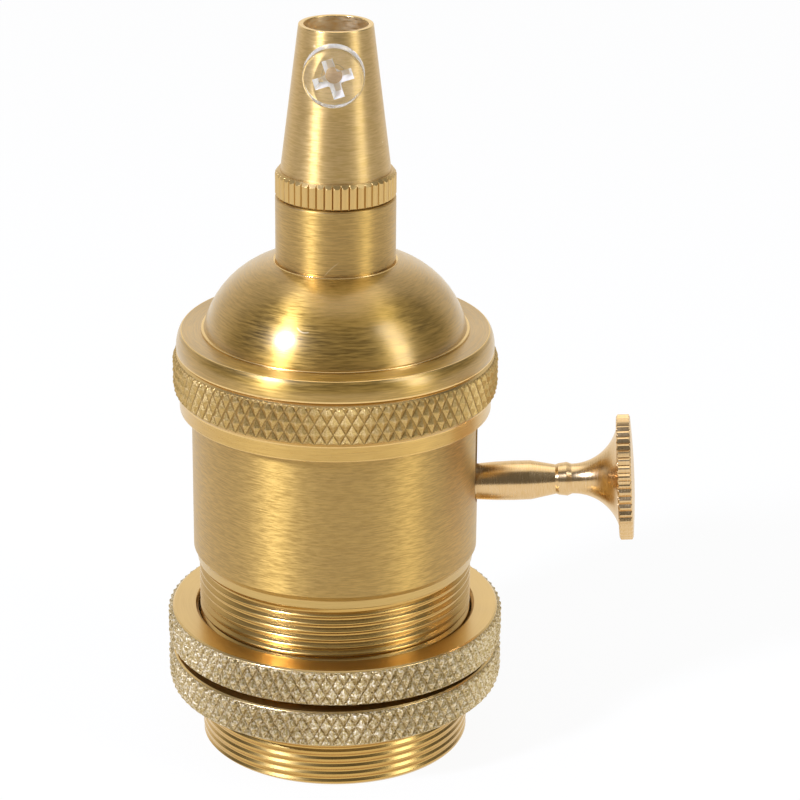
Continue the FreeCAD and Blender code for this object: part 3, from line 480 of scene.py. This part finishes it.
def knurledBand(knurl, low, high):
    # r = min(edge(z), root + depth h), where h = min(T(k + m), T(k - m)) and T(w) = |1 - w mod 2|:
    # two families of V grooves cross and leave pyramids; k counts half diamonds round and m up
    fine, slack = knurl["fine"], 1e-9
    k = np.linspace(0, 2 * knurl["columns"], 2 * knurl["columns"] * fine + 1)
    m = np.linspace(0, knurl["steps"], int(knurl["steps"] * fine) + 1)[:, None] + 0 * k
    z = low + (high - low) * m / knurl["steps"]
    groove = np.minimum(np.abs(1 - (k + m) % 2), np.abs(1 - (k - m) % 2))
    point = np.minimum(groove, 1 - knurl["flat"])
    rise = (high - low) / knurl["steps"] / fine
    edge = np.interp(z, [low, low + knurl["lowRows"] * rise, high - knurl["highRows"] * rise, high],
                     [knurl["lowEdge"], knurl["crest"], knurl["crest"], knurl["highEdge"]])
    r = np.minimum(knurl["crest"] - knurl["depth"] * (1 - knurl["flat"] - point), edge)
    cell = (np.floor(k[:-1] + slack) + np.floor(m[:-1, :-1] + slack)) % 2 == 0
    band = patch(around(r, tau * k / (2 * knurl["columns"]), z), otherWay=cell)
    band["uv"] = np.stack([k + 0 * m, m], -1).reshape(-1, 2)[band["corners"]]
    return band


def threadedRod(thread, low, high):
    # z = low + pitch (b + a), a once round, b one turn a unit; r = min(edge(z), root + depth f(b)), where
    # f is the thread's flat-topped V
    a = (np.arange(thread["columns"] + 3) - 1) / thread["columns"]
    form = np.array(thread["form"])
    b = (np.arange(-2, int((high - low) / thread["pitch"]) + 2)[:, None] + form[:, 0]).ravel()
    f = np.tile(form[:, 1], len(b) // len(form))
    z = np.clip(low + thread["pitch"] * (b[:, None] + a), low, high)
    edge = np.interp(z, thread["edgeZ"], thread["edgeR"])
    return stripPatch(around(np.minimum(thread["root"] + thread["depth"] * f[:, None], edge), tau * a, z))


def ribbedBand(ribs, perRib, crestR, depth, z, edge, form):
    # r = min(edge(z), crest - depth f(s)), s from -1 to 1 across each rib and f the rib's cross section
    t = np.linspace(0, tau, ribs * perRib + 1)
    s = 2 * ((t * ribs / tau) % 1) - 1
    r = np.minimum(crestR - depth * form(s) + 0 * z[:, None], edge[:, None])
    return patch(around(r, t, z[:, None]))


# Cap: neck, dome, flange, knurled band and skirt

cap = {"boreR": 19.44, "skirtR": 21.0, "skirtLow": 48.3, "skirtTop": 50.3, "skirtRound": 0.12,
       "beadR": 21.1, "beadRise": 0.03, "beadRound": 0.02, "beadTop": 50.46, "knurlLow": 50.86,
       "knurlHigh": 56.02, "lowTrimR": 0.05, "lowTrimZ": 0.04, "highTrim": 0.03, "shoulderR": 20.98,
       "seamLow": 56.38, "seamR": 20.6, "flangeLow": 56.5, "flareR": 21.35, "flareRound": 0.08,
       "flareHigh": 56.75, "flangeBow": 4.5, "flangeSide": 58.9, "flangeTopR": 20.7, "flangeHigh": 59.3,
       "flangeRound": 0.2, "lipR": 18.0, "lipTopR": 18.02, "lipTopZ": 59.56, "lipRound": 0.12,
       "footR": 17.65, "footZ": 59.6, "domeRadius": 12.5, "domeTopR": 8.3, "domeTopZ": 68.872,
       "ridgeR": 8.28, "ridgeZ": 68.992, "ridgeRound": 0.05, "grooveR": 7.84, "grooveLow": 68.952,
       "grooveHigh": 69.22, "neckR": 8.0, "neckLow": 69.3, "neckHigh": 77.85, "neckRound": 0.25,
       "holeR": 5.04, "ceiling": 67.0, "ceilingR": 8.4, "vaultRadius": 11.1, "vaultLow": 58.2,
       "innerR": 16.25, "ledge": 57.2, "coarse": 192}
capBand = {"columns": 84, "steps": 3.62, "fine": 8, "crest": 21.9, "depth": 0.46, "flat": 0.04, "lowRows": 3,
           "highRows": 2, "lowEdge": 21.42, "highEdge": 21.36}


def makeCap():
    skirtR, seamR, flangeHigh = cap["skirtR"], cap["seamR"], cap["flangeHigh"]
    lowTrim = capBand["lowEdge"] - cap["lowTrimR"], cap["knurlLow"] - cap["lowTrimZ"]
    highTrim = capBand["highEdge"] - cap["highTrim"], cap["knurlHigh"] + cap["highTrim"]
    domeTop = cap["domeTopR"], cap["domeTopZ"]
    skirt = section((cap["boreR"], cap["skirtLow"]), (skirtR, cap["skirtLow"], cap["skirtRound"]),
                    (skirtR, cap["skirtTop"]))
    bead = section((skirtR, cap["skirtTop"]),
                   (cap["beadR"], cap["skirtTop"] + cap["beadRise"], cap["beadRound"]),
                   (cap["beadR"], cap["beadTop"]))
    cone = section((cap["beadR"], cap["beadTop"]), lowTrim)
    collar = section(highTrim, (cap["shoulderR"], cap["seamLow"]), (seamR, cap["seamLow"]))
    flange = section((seamR, cap["seamLow"]), (seamR, cap["flangeLow"]),
                     (cap["flareR"], cap["flangeLow"], cap["flareRound"]), (cap["flareR"], cap["flareHigh"]),
                     (cap["shoulderR"], cap["flangeSide"], cap["flangeBow"], -1),
                     (cap["flangeTopR"], flangeHigh, cap["flangeRound"]), (cap["lipR"], flangeHigh))
    lip = section((cap["lipR"], flangeHigh), (cap["lipTopR"], cap["lipTopZ"], cap["lipRound"]),
                  (cap["footR"], cap["footZ"]))
    dome = section((cap["footR"], cap["footZ"]), (*domeTop, cap["domeRadius"], -1))
    ridge = section(domeTop, (cap["ridgeR"], cap["ridgeZ"], cap["ridgeRound"]),
                    (cap["grooveR"], cap["grooveLow"]))
    neck = section((cap["grooveR"], cap["grooveLow"]), (cap["grooveR"], cap["grooveHigh"]),
                   (cap["neckR"], cap["neckLow"]), (cap["neckR"], cap["neckHigh"], cap["neckRound"]),
                   (cap["holeR"], cap["neckHigh"]), (cap["holeR"], cap["ceiling"]),
                   (cap["ceilingR"], cap["ceiling"]), (cap["innerR"], cap["vaultLow"], cap["vaultRadius"], 1),
                   (cap["innerR"], cap["ledge"]), (cap["boreR"], cap["ledge"]),
                   (cap["boreR"], cap["skirtLow"]))
    many = 2 * capBand["columns"] * capBand["fine"]
    joins = [stitched((capBand["highEdge"], cap["knurlHigh"], many), (*highTrim, cap["coarse"]), True),
             stitched((capBand["lowEdge"], cap["knurlLow"], many), (*lowTrim, cap["coarse"]), False)]
    skirtWall, skirtEdges = parted(skirt)
    flangeWall, flangeEdges = parted(flange)
    makePiece("capDressed", "holder", "cap",
              [(brass["dome"], turned(flangeWall + dome)), (brass["neck"], turned(neck)),
               (brass["skirt"], turned(skirtWall)),
               (knurled["capKnurl"], [knurledBand(capBand, cap["knurlLow"], cap["knurlHigh"])]),
               (brass["face"], turned(cone)),
               (brass["edge"], turned(skirtEdges + bead + collar + flangeEdges + lip + ridge) + joins)])


makeCap()


# Sleeve: side wall with the key's slot, shoulder, and the shade thread

sleeve = {"outR": 19.4, "boreR": 18.0, "wallLow": 28.35, "top": 57.0, "ledge": 26.0, "ledgeRound": 0.1,
          "threadBoreR": 17.2, "mouthRound": 0.15, "slotHalf": 2.8, "slotZ": 37.57, "slotRows": 13,
          "wallRows": 4, "columns": 192,
          "shoulder": [(18.22, 26.3), (18.6, 26.32), (18.88, 26.52, 0.1), (18.9, 27.6, 0.12)]}
shadeThread = {"pitch": 1.13, "depth": 0.42, "root": 18.23, "columns": 192, "top": 26.3,
               "form": [(0.0, 0.0), (0.16, 0.0), (0.46, 0.86), (0.53, 1.0), (0.63, 1.0), (0.70, 0.86)],
               "edgeZ": [0.0, 0.3, 7.3, 7.55, 26.0, 26.3],
               "edgeR": [18.12, 18.42, 18.42, 18.65, 18.65, 18.22]}


def slottedWall(r, outward):
    # cylinder whose columns are drawn aside by the slot: t from d(z) to 360 degrees - d(z), where d is half
    # the slot's opening: a half circle at its foot, then its full width
    half, middle, rows = sleeve["slotHalf"], sleeve["slotZ"], sleeve["wallRows"]
    low = sleeve["wallLow"] if outward else sleeve["ledge"]
    arc = middle - half * np.cos(np.linspace(0, np.pi / 2, sleeve["slotRows"]))
    z = np.concatenate([np.linspace(low, middle - half, rows)[:-1], arc,
                        np.linspace(middle, sleeve["top"], rows)[1:]])[::1 if outward else -1, None]
    down = np.clip(middle - z, 0, half)
    aside = np.where(z < middle - half, 0, np.sqrt(np.maximum(half ** 2 - down ** 2, 0)))
    d = np.arcsin(aside / r)
    t = d + (tau - 2 * d) * np.linspace(0, 1, sleeve["columns"] + 1)
    points = around(r, t, z)
    return patch(points, around(1, t, 0) * (1 if outward else -1)), points


def makeSleeve():
    outside, outPoints = slottedWall(sleeve["outR"], True)
    inside, inPoints = slottedWall(sleeve["boreR"], False)
    inPoints = inPoints[::-1]
    rim = patch(np.stack([outPoints[-1], inPoints[-1]]))
    rows = sleeve["slotRows"] + sleeve["wallRows"] - 1
    near, far = (np.stack([outPoints[-rows:, i], inPoints[-rows:, i]], 1) for i in (0, -1))
    shoulder = section(*sleeve["shoulder"], (sleeve["outR"], sleeve["wallLow"]))
    bore = section((sleeve["boreR"], sleeve["ledge"]),
                   (sleeve["threadBoreR"], sleeve["ledge"], sleeve["ledgeRound"]),
                   (sleeve["threadBoreR"], 0.0, sleeve["mouthRound"]), (shadeThread["edgeR"][0], 0.0))
    makePiece("sleeveDressed", "holder", "sleeve",
              [(brass["satin"], [outside, inside, rim, patch(near[:, ::-1]), patch(far)]),
               (brass["step"], turned(shoulder)),
               (brass["thread"], turned(bore) + [threadedRod(shadeThread, 0.0, shadeThread["top"])])])


makeSleeve()


# Shade rings, both the same, the lower one askew on its thread

ring = {"boreR": 18.95, "height": 5.0, "upperLow": 14.1, "lowerLow": 8.5, "tilt": 1.25, "lowSide": -120.0,
        "boreChamfer": 0.35, "boreRound": 0.06, "edgeHeight": 0.2, "edgeInset": 0.22, "trimIn": 0.02,
        "trimUp": 0.03, "footR": 22.2, "coarse": 180}
ringBand = {"columns": 90, "steps": 3.375, "fine": 8, "crest": 23.1, "depth": 0.53, "flat": 0.08, "lowRows": 3,
            "highRows": 2, "lowEdge": 22.47, "highEdge": 22.47}


def makeRing(name, body, node, low, place=None):
    high = low + ring["height"]
    smooth = high - ring["edgeHeight"]
    trim = ringBand["highEdge"] - ring["trimIn"], smooth + ring["trimUp"]
    top = ringBand["highEdge"] - ring["edgeInset"], high
    boreR, cut, coarse = ring["boreR"], ring["boreChamfer"], ring["coarse"]
    inner = section(top, (boreR + cut, high, ring["boreRound"]), (boreR, high - cut), (boreR, low + cut),
                    (boreR + cut, low), (ring["footR"], low))
    many = 2 * ringBand["columns"] * ringBand["fine"]
    joins = [stitched((ringBand["highEdge"], smooth, many), (*trim, coarse), True),
             stitched((ringBand["lowEdge"], low, many), (ring["footR"], low, coarse), False)]
    makePiece(name, body, node,
              [(brass["face"], turned(inner, coarse)),
               (knurled["ringKnurl"], [knurledBand(ringBand, low, smooth)]),
               (brass["edge"], turned(section(trim, top), coarse) + joins)], place)


lowSide = Vector((np.cos(np.radians(ring["lowSide"])), np.sin(np.radians(ring["lowSide"])), 0))
lowerCentre = Vector((0, 0, (ring["lowerLow"] + ring["height"] / 2) * mm))
tilt = Matrix.Rotation(np.radians(ring["tilt"]), 4, Vector((0, 0, 1)).cross(lowSide))
askew = Matrix.Translation(lowerCentre) @ tilt @ Matrix.Translation(-lowerCentre)
makeRing("shadeRingUpperDressed", "upper_ring", "shade_ring_upper", ring["upperLow"])
makeRing("shadeRingLowerDressed", "lower_ring", "shade_ring_lower", ring["lowerLow"], askew)


# Cord grip: ribbed collar and cone

grip = {"low": 77.9, "collarR": 8.0, "collarHeight": 3.5, "ribs": 45, "perRib": 12, "ribDepth": 0.34,
        "ribForm": 2.2, "ribFoot": 0.06, "lowChamfer": 0.3, "lowRows": 4, "highChamfer": 0.5, "highRows": 12,
        "ribEnd": 0.4, "footR": 7.3, "topR": 4.88, "topZ": 100.9, "mouthR": 4.2, "mouthZ": 97.5,
        "lipRound": 0.12, "boreR": 4.0, "stepZ": 87.55, "threadR": 5.04}


def makeGrip():
    low, collarR, cut = grip["low"], grip["collarR"], grip["highChamfer"]
    top = low + grip["collarHeight"]
    rootR = collarR - grip["ribDepth"] - grip["ribFoot"]
    z = np.concatenate([low + np.linspace(0, grip["lowChamfer"], grip["lowRows"]),
                        top - cut + np.linspace(-grip["ribEnd"], cut, grip["highRows"])])
    edge = np.interp(z, [low, low + grip["lowChamfer"], top - cut, top], [rootR, collarR, collarR, rootR])
    ribs = ribbedBand(grip["ribs"], grip["perRib"], collarR, grip["ribDepth"], z, edge,
                      lambda s: 1 - np.sqrt(np.maximum(1 - np.abs(s) ** grip["ribForm"], 0)))
    lipR = (grip["topR"] + grip["mouthR"]) / 2
    foot = section((grip["threadR"], low), (rootR, low))
    cone = section((rootR, top), (grip["footR"], top), (grip["topR"], grip["topZ"], grip["lipRound"]),
                   (lipR, grip["topZ"]))
    coneWall, coneEdges = parted(cone)
    bore = section((lipR, grip["topZ"]), (grip["mouthR"], grip["topZ"], grip["lipRound"]),
                   (grip["mouthR"], grip["mouthZ"]), (grip["boreR"], grip["mouthZ"]),
                   (grip["boreR"], grip["stepZ"]), (grip["threadR"], grip["stepZ"]), (grip["threadR"], low))
    boreWall, boreEdges = parted(bore)
    columns = grip["ribs"] * grip["perRib"]
    makePiece("cordGripDressed", "holder", "cord_grip",
              [(brass["grip"], turned(foot + coneWall, columns)), (brass["bore"], turned(boreWall, columns)),
               (brass["edge"], turned(coneEdges + boreEdges, columns)), (brass["rib"], [ribs])])


makeGrip()


# Switch key: stem, bead, flare and fluted disc, turned about the switch's axis

key = {"slope": 4.0, "wallR": 19.4, "root": -1.3, "rootR": 2.45, "rootRound": 0.15, "swell": 7.3,
       "swellR": 2.66, "swellBow": 58.4, "neck": 10.7, "neckR": 2.0, "beadStart": 11.1, "beadFootR": 2.15,
       "beadPeak": 12.2, "beadR": 2.3, "beadRound": 0.1, "waist": 12.9, "waistR": 2.03, "discBack": 19.1,
       "discBackR": 6.7, "thick": 1.9, "discR": 8.5, "rimInset": 0.05, "flutes": 48, "perFlute": 10,
       "fluteDepth": 0.3, "fluteHalf": 0.8, "edge": 0.2, "edgeRows": 3, "crown": 0.35, "holeR": 1.54,
       "holeDepth": 8.0}
keyLook = dict(threadLook, colour=(0.76, 0.54, 0.28), secondColour=(0.71, 0.49, 0.245),
               streakColour=(0.84, 0.65, 0.42), streak=0.5, cloudScale=90.0, linesPerMetre=6000.0,
               breaksRound=2.0, stretch=0.5, lacquer=0.0, lacquerRoughness=0.3, lacquerIor=1.5)


def makeKey():
    joint = joints["key_turn"]
    turn = Vector((0, 0, 1)).rotation_difference(Vector(joint["axis"]).normalized()).to_matrix().to_4x4()
    place = Matrix.Translation(Vector(joint["pos_m"])) @ turn
    start = key["wallR"] / np.cos(np.radians(key["slope"]))
    root, back, front = start + key["root"], start + key["discBack"], start + key["discBack"] + key["thick"]
    rim = key["discR"] - key["fluteDepth"] - key["rimInset"]
    flare, length = key["discBackR"] - key["waistR"], key["discBack"] - key["waist"]
    stem = section((key["holeR"], root), (key["rootR"], root, key["rootRound"]), (key["rootR"], start),
                   (key["swellR"], start + key["swell"], key["swellBow"], -1),
                   (key["neckR"], start + key["neck"]),
                   (key["beadFootR"], start + key["beadStart"], key["beadRound"]),
                   (key["beadR"], start + key["beadPeak"], key["beadRound"]),
                   (key["waistR"], start + key["waist"]),
                   (key["discBackR"], back, (length ** 2 + flare ** 2) / (2 * flare), 1), (rim, back))
    z = np.concatenate([back + np.linspace(0, key["edge"], key["edgeRows"]),
                        front - np.linspace(key["edge"], 0, key["edgeRows"])])
    edge = np.interp(z, [back, back + key["edge"], front - key["edge"], front],
                     [rim, key["discR"], key["discR"], rim])
    flutes = ribbedBand(key["flutes"], key["perFlute"], key["discR"], key["fluteDepth"], z, edge,
                        lambda s: 1 - np.clip(np.abs(s) / key["fluteHalf"], 0, 1))
    crown = (rim ** 2 + key["crown"] ** 2) / (2 * key["crown"])
    face = section((rim, front), (0.0, front + key["crown"], crown, -1))
    floor = start + key["holeDepth"]
    hole = section((0.0, floor), (key["holeR"], floor), (key["holeR"], root))
    makePiece("switchKeyDressed", "key", "switch_key",
              [(turnedBrass("keyBrass", keyLook, place),
                turned(stem + face + hole, key["flutes"] * key["perFlute"]) + [flutes])], place)


makeKey()


# Clamping screw of clear plastic with a cross recess

screw = {"z": 95.8, "towards": -87.3, "headR": 3.98, "head": 2.6, "round": 0.3, "underRound": 0.12,
         "shankR": 1.5, "shank": 5.0, "shankRound": 0.3, "rootRound": 0.1, "span": 5.2, "arm": 1.45,
         "core": 1.15, "recess": 1.9, "spanTaper": 0.85, "armTaper": 0.6, "coreTaper": 0.95, "turn": 18.0,
         "seatGap": 0.05, "faceTrim": 0.05, "faceRows": 5, "endColumns": 4, "sideColumns": 8}
plastic = {"ior": 1.49, "hazeScale": 900.0, "hazeSpread": 0.3, "hazeDepth": 0.004}
pale = (0.97, 0.97, 0.96)
plasticLooks = {
    "clearPlastic": {"colour": pale, "roughness": 0.04, "clearness": 1.0},
    "frostedPlastic": {"colour": pale, "roughness": 0.35, "clearness": 0.45},
    "mouldedRim": {"colour": pale, "roughness": 0.2, "clearness": 0.6},
    "recessFloor": {"colour": pale, "roughness": 0.35, "clearness": 0.8},
    "shankEnd": {"colour": (0.83, 0.73, 0.67), "roughness": 0.2, "clearness": 0.85},
}


def clearPlastic(name, look):
    material, tree, shader = newFinish(name)
    haze = blotches(tree, objectPlace(tree), plastic["hazeScale"])
    rough = rescaled(tree, haze, look["roughness"] * (1 - plastic["hazeSpread"]),
                     look["roughness"] * (1 + plastic["hazeSpread"]))
    fill(tree, shader, {"Base Color": (*look["colour"], 1.0), "Roughness": rough,
                        "Transmission Weight": look["clearness"], "IOR": plastic["ior"]})
    bumped(tree, shader, haze, plastic["hazeDepth"] * mm)
    return material


def gripRadius(z):
    foot = grip["low"] + grip["collarHeight"]
    return grip["footR"] + (grip["topR"] - grip["footR"]) * (z - foot) / (grip["topZ"] - foot)


def makeScrew():
    seat = gripRadius(screw["z"] - screw["headR"]) + screw["seatGap"]
    angle = np.radians(screw["towards"])
    place = Matrix.Translation(Vector((np.cos(angle) * seat, np.sin(angle) * seat, screw["z"])) * mm)
    place = place @ Matrix.Rotation(angle, 4, "Z") @ Matrix.Rotation(np.pi / 2, 4, "Y")
    # columns that meet the cross's corners
    corner = np.arctan2(screw["arm"], screw["span"])    # where an arm's side meets its end
    spread = np.concatenate([np.linspace(0, corner, screw["endColumns"]),
                             np.linspace(corner, np.pi / 4, screw["sideColumns"])[1:]])
    quarter = np.concatenate([-spread[::-1], spread[1:]])
    t = np.concatenate([quarter[:-1] + i * np.pi / 2 for i in range(4)] + [[quarter[0] + tau]])
    folded = np.abs((t + np.pi / 4) % (np.pi / 2) - np.pi / 4)
    angles = t + np.radians(screw["turn"])

    def cross(span, arm):
        # a round core with four arms
        arms = np.minimum(span / 2 / np.cos(folded), arm / 2 / np.maximum(np.sin(folded), 1e-6))
        return np.maximum(arms, screw["core"])

    def rows(*levels):
        # surface through rows round the screw's axis: each has a radius, or one for every angle, and a height
        r = np.stack([level[0] + 0 * t for level in levels])
        return patch(around(r, angles, np.array([level[1] for level in levels])[:, None]))

    front, floor = screw["head"], screw["head"] - screw["recess"]
    faceR = screw["headR"] - screw["round"] - screw["faceTrim"]
    mouth = cross(screw["span"], screw["arm"])
    foot = cross(screw["span"] * screw["spanTaper"], screw["arm"] * screw["armTaper"]) * screw["coreTaper"]
    coreR = np.minimum(foot, screw["core"] * screw["coreTaper"])
    outer = section((0, -screw["shank"]), (screw["shankR"], -screw["shank"], screw["shankRound"]),
                    (screw["shankR"], 0, screw["rootRound"]), (screw["headR"], 0, screw["underRound"]),
                    (screw["headR"], front, screw["round"]), (faceR, front))
    # runs 5 and 6 are the head's lower rounding and its side, which are left as moulded
    body, side = outer[:5] + outer[7:], outer[5:7]
    face = rows(*[(faceR + (mouth - faceR) * s, front) for s in np.linspace(0, 1, screw["faceRows"])])
    walls = rows((mouth, front), ((mouth + foot) / 2, (front + floor) / 2), (foot, floor))
    centre = rows((coreR, floor), (coreR / 2, floor), (0, floor))
    finish = {name: clearPlastic(name, look) for name, look in plasticLooks.items()}
    makePiece("clampScrewDressed", "grip_screw", "cord_grip_screw",
              [(finish["clearPlastic"], turned(body, angles=angles) + [face]), (finish["shankEnd"], [centre]),
               (finish["mouldedRim"], turned(side, angles=angles)), (finish["frostedPlastic"], [walls]),
               (finish["recessFloor"], [rows((foot, floor), (coreR, floor))])], place)


makeScrew()


# Bulb's screw shell: sheet rolled to a round thread

shell = {"majorR": 13.3, "depth": 1.1, "pitch": 3.62, "leadIn": 3.0, "low": 2.0, "high": 23.95, "sheet": 0.4,
         "flangeR": 7.2, "columns": 144, "rows": 96, "fade": 1.2}


def makeShell():
    # r = major - depth (1 - cos(2 pi (z / pitch - a))) / 2, faded out at both ends; a once round
    low, high, major, columns = shell["low"], shell["high"], shell["majorR"], shell["columns"]
    under, start = high - shell["sheet"], low + shell["leadIn"]
    a = np.linspace(0, 1, columns + 1)
    z = np.linspace(low, under, shell["rows"])[:, None]
    fade = np.clip((z - start) / shell["fade"], 0, 1) * np.clip((under - z) / shell["fade"], 0, 1)
    wave = (1 - np.cos(tau * ((z - start) / shell["pitch"] - a))) / 2 * fade ** 2 * (3 - 2 * fade)
    inner = major - shell["depth"] * wave
    faces = []
    for r, way in ((inner, -1), (inner + shell["sheet"], 1)):
        points = around(r, tau * a, z)
        down, across = np.gradient(points, axis=0), np.gradient(points, axis=1)
        across[:, 0] = across[:, -1] = (points[:, 1] - points[:, -2]) / 2
        faces.append(patch(points[::way], (unit(np.cross(across, down)) * way)[::way]))
    outer = major + shell["sheet"]
    rims = section((major, low), (outer, low))
    rims += section((outer, under), (outer, high), (shell["flangeR"], high), (shell["flangeR"], under),
                    (major, under))
    makePiece("screwShellDressed", "holder", "screw_shell",
              [(innerFinish["platedShell"], faces + turned(rims, columns))])


makeShell()


# Floor, light and camera

studio = {"floorSize": 6.0, "floorColour": (0.95, 0.95, 0.95), "floorRoughness": 0.8, "floorGlow": 0.92,
          "glossTint": (1.0, 0.94, 0.83), "fillLight": (0.6, 0.6, 0.6)}
white = (1.0, 1.0, 1.0)


def makeFloor():
    half = studio["floorSize"] / 2
    mesh = bpy.data.meshes.new("floor")
    square = [(-half, -half, 0), (half, -half, 0), (half, half, 0), (-half, half, 0)]
    mesh.from_pydata(square, [], [(0, 1, 2, 3)])
    floor = bpy.data.objects.new("floor", mesh)
    bpy.context.scene.collection.objects.link(floor)
    material, tree, shader = newFinish("palePaper")
    fill(tree, shader, {"Base Color": (*studio["floorColour"], 1.0), "Roughness": studio["floorRoughness"]})
    path = addNode(tree, "LightPath").outputs
    seen = mathStep(tree, "MAXIMUM", path["Is Camera Ray"], path["Is Glossy Ray"])
    seen = mathStep(tree, "MAXIMUM", seen, path["Is Transmission Ray"])
    tint = colourMix(tree, path["Is Glossy Ray"], white, studio["glossTint"])
    glow = addNode(tree, "Emission", {"Color": tint, "Strength": 1.0})
    mixed = addNode(tree, "MixShader", {0: mathStep(tree, "MULTIPLY", seen, studio["floorGlow"]),
                                        1: shader.outputs[0], 2: glow.outputs[0]})
    tree.links.new(mixed.outputs[0], tree.nodes["Material Output"].inputs["Surface"])
    mesh.materials.append(material)


makeFloor()

# each lamp by its bearing from straight ahead, its height in degrees, distance, size and power
lamps = {
    "leftBox": {"bearing": -46, "height": 34, "distance": 0.9, "size": (0.10, 0.16), "power": 8.2,
                "colour": (0.74, 0.79, 1.0)},
    "rightBox": {"bearing": 65, "height": 26, "distance": 0.9, "size": (0.24, 0.85), "power": 2.8,
                 "colour": (0.90, 0.94, 1.0)},
}
aim = Vector((0, 0, 0.05))
for name, lamp in lamps.items():
    light = bpy.data.lights.new(name, "AREA")
    light.shape = "RECTANGLE"
    light.size, light.size_y = lamp["size"]
    light.energy = lamp["power"]
    light.color = lamp["colour"]
    bearing, height = np.radians(lamp["bearing"]), np.radians(lamp["height"])
    way = Vector((np.sin(bearing) * np.cos(height), -np.cos(bearing) * np.cos(height), np.sin(height)))
    stand = bpy.data.objects.new(name, light)
    stand.matrix_world = (Matrix.Translation(aim + way * lamp["distance"])
                          @ (-way).to_track_quat("-Z", "Y").to_matrix().to_4x4())
    bpy.context.scene.collection.objects.link(stand)

# the studio that gloss shows: how far its bright back reaches round on the right and left, the ceiling's
# slope, and three zones, each with its strength at its start and end and where it starts and ends
zones = {"right": 0.6, "left": -0.10, "slope": 0.2, "over": (0.14, 0.70, 0.0, 0.30),
         "wall": (0.0, 0.32, 0.6, 0.9), "ceiling": (0.0, 1.2, 0.86, 0.96)}


def makeWorld():
    # white behind the object, and for gloss a studio that is darker low down and ahead of the object
    world = bpy.data.worlds.new("studio")
    bpy.context.scene.world = world
    world.use_nodes = True
    tree = world.node_tree
    path = addNode(tree, "LightPath").outputs
    way = addNode(tree, "SeparateXYZ", {"Vector": addNode(tree, "TexCoord").outputs["Generated"]}).outputs
    aside = mathStep(tree, "MAXIMUM", *[mathStep(tree, "MULTIPLY", way["X"], zones[side])
                                        for side in ("right", "left")])
    behind = mathStep(tree, "SUBTRACT", way["Y"], aside)
    high = mathStep(tree, "MULTIPLY_ADD", way["Y"], zones["slope"], way["Z"])
    sky = mathStep(tree, "ADD", rescaled(tree, behind, *zones["over"]), rescaled(tree, behind, *zones["wall"]))
    sky = mathStep(tree, "ADD", sky, rescaled(tree, high, *zones["ceiling"]))
    glossy = colourMix(tree, path["Is Glossy Ray"], studio["fillLight"],
                       vectorStep(tree, "MULTIPLY", studio["glossTint"], sky))
    direct = mathStep(tree, "MAXIMUM", path["Is Camera Ray"], path["Is Transmission Ray"])
    fill(tree, tree.nodes["Background"], {"Color": colourMix(tree, direct, glossy, white), "Strength": 1.0})


makeWorld()

camera = {"place": (32.91, -373.66, 194.5), "down": 21.22, "turn": 3.7, "roll": 0.57, "lens": 133.9,
          "sensor": 36.0, "nearest": 0.01}
lens = bpy.data.cameras.new("camera")
lens.lens = camera["lens"]
lens.sensor_width = camera["sensor"]
lens.clip_start = camera["nearest"]
eye = bpy.data.objects.new("camera", lens)
eye.matrix_world = (Matrix.Translation(Vector(camera["place"]) * mm)
                    @ Matrix.Rotation(np.radians(camera["turn"]), 4, "Z")
                    @ Matrix.Rotation(np.radians(90 - camera["down"]), 4, "X")
                    @ Matrix.Rotation(np.radians(camera["roll"]), 4, "Z"))
bpy.context.scene.collection.objects.link(eye)
bpy.context.scene.camera = eye
bpy.context.scene.view_settings.view_transform = "Standard"
print("stage, lamps and camera set")
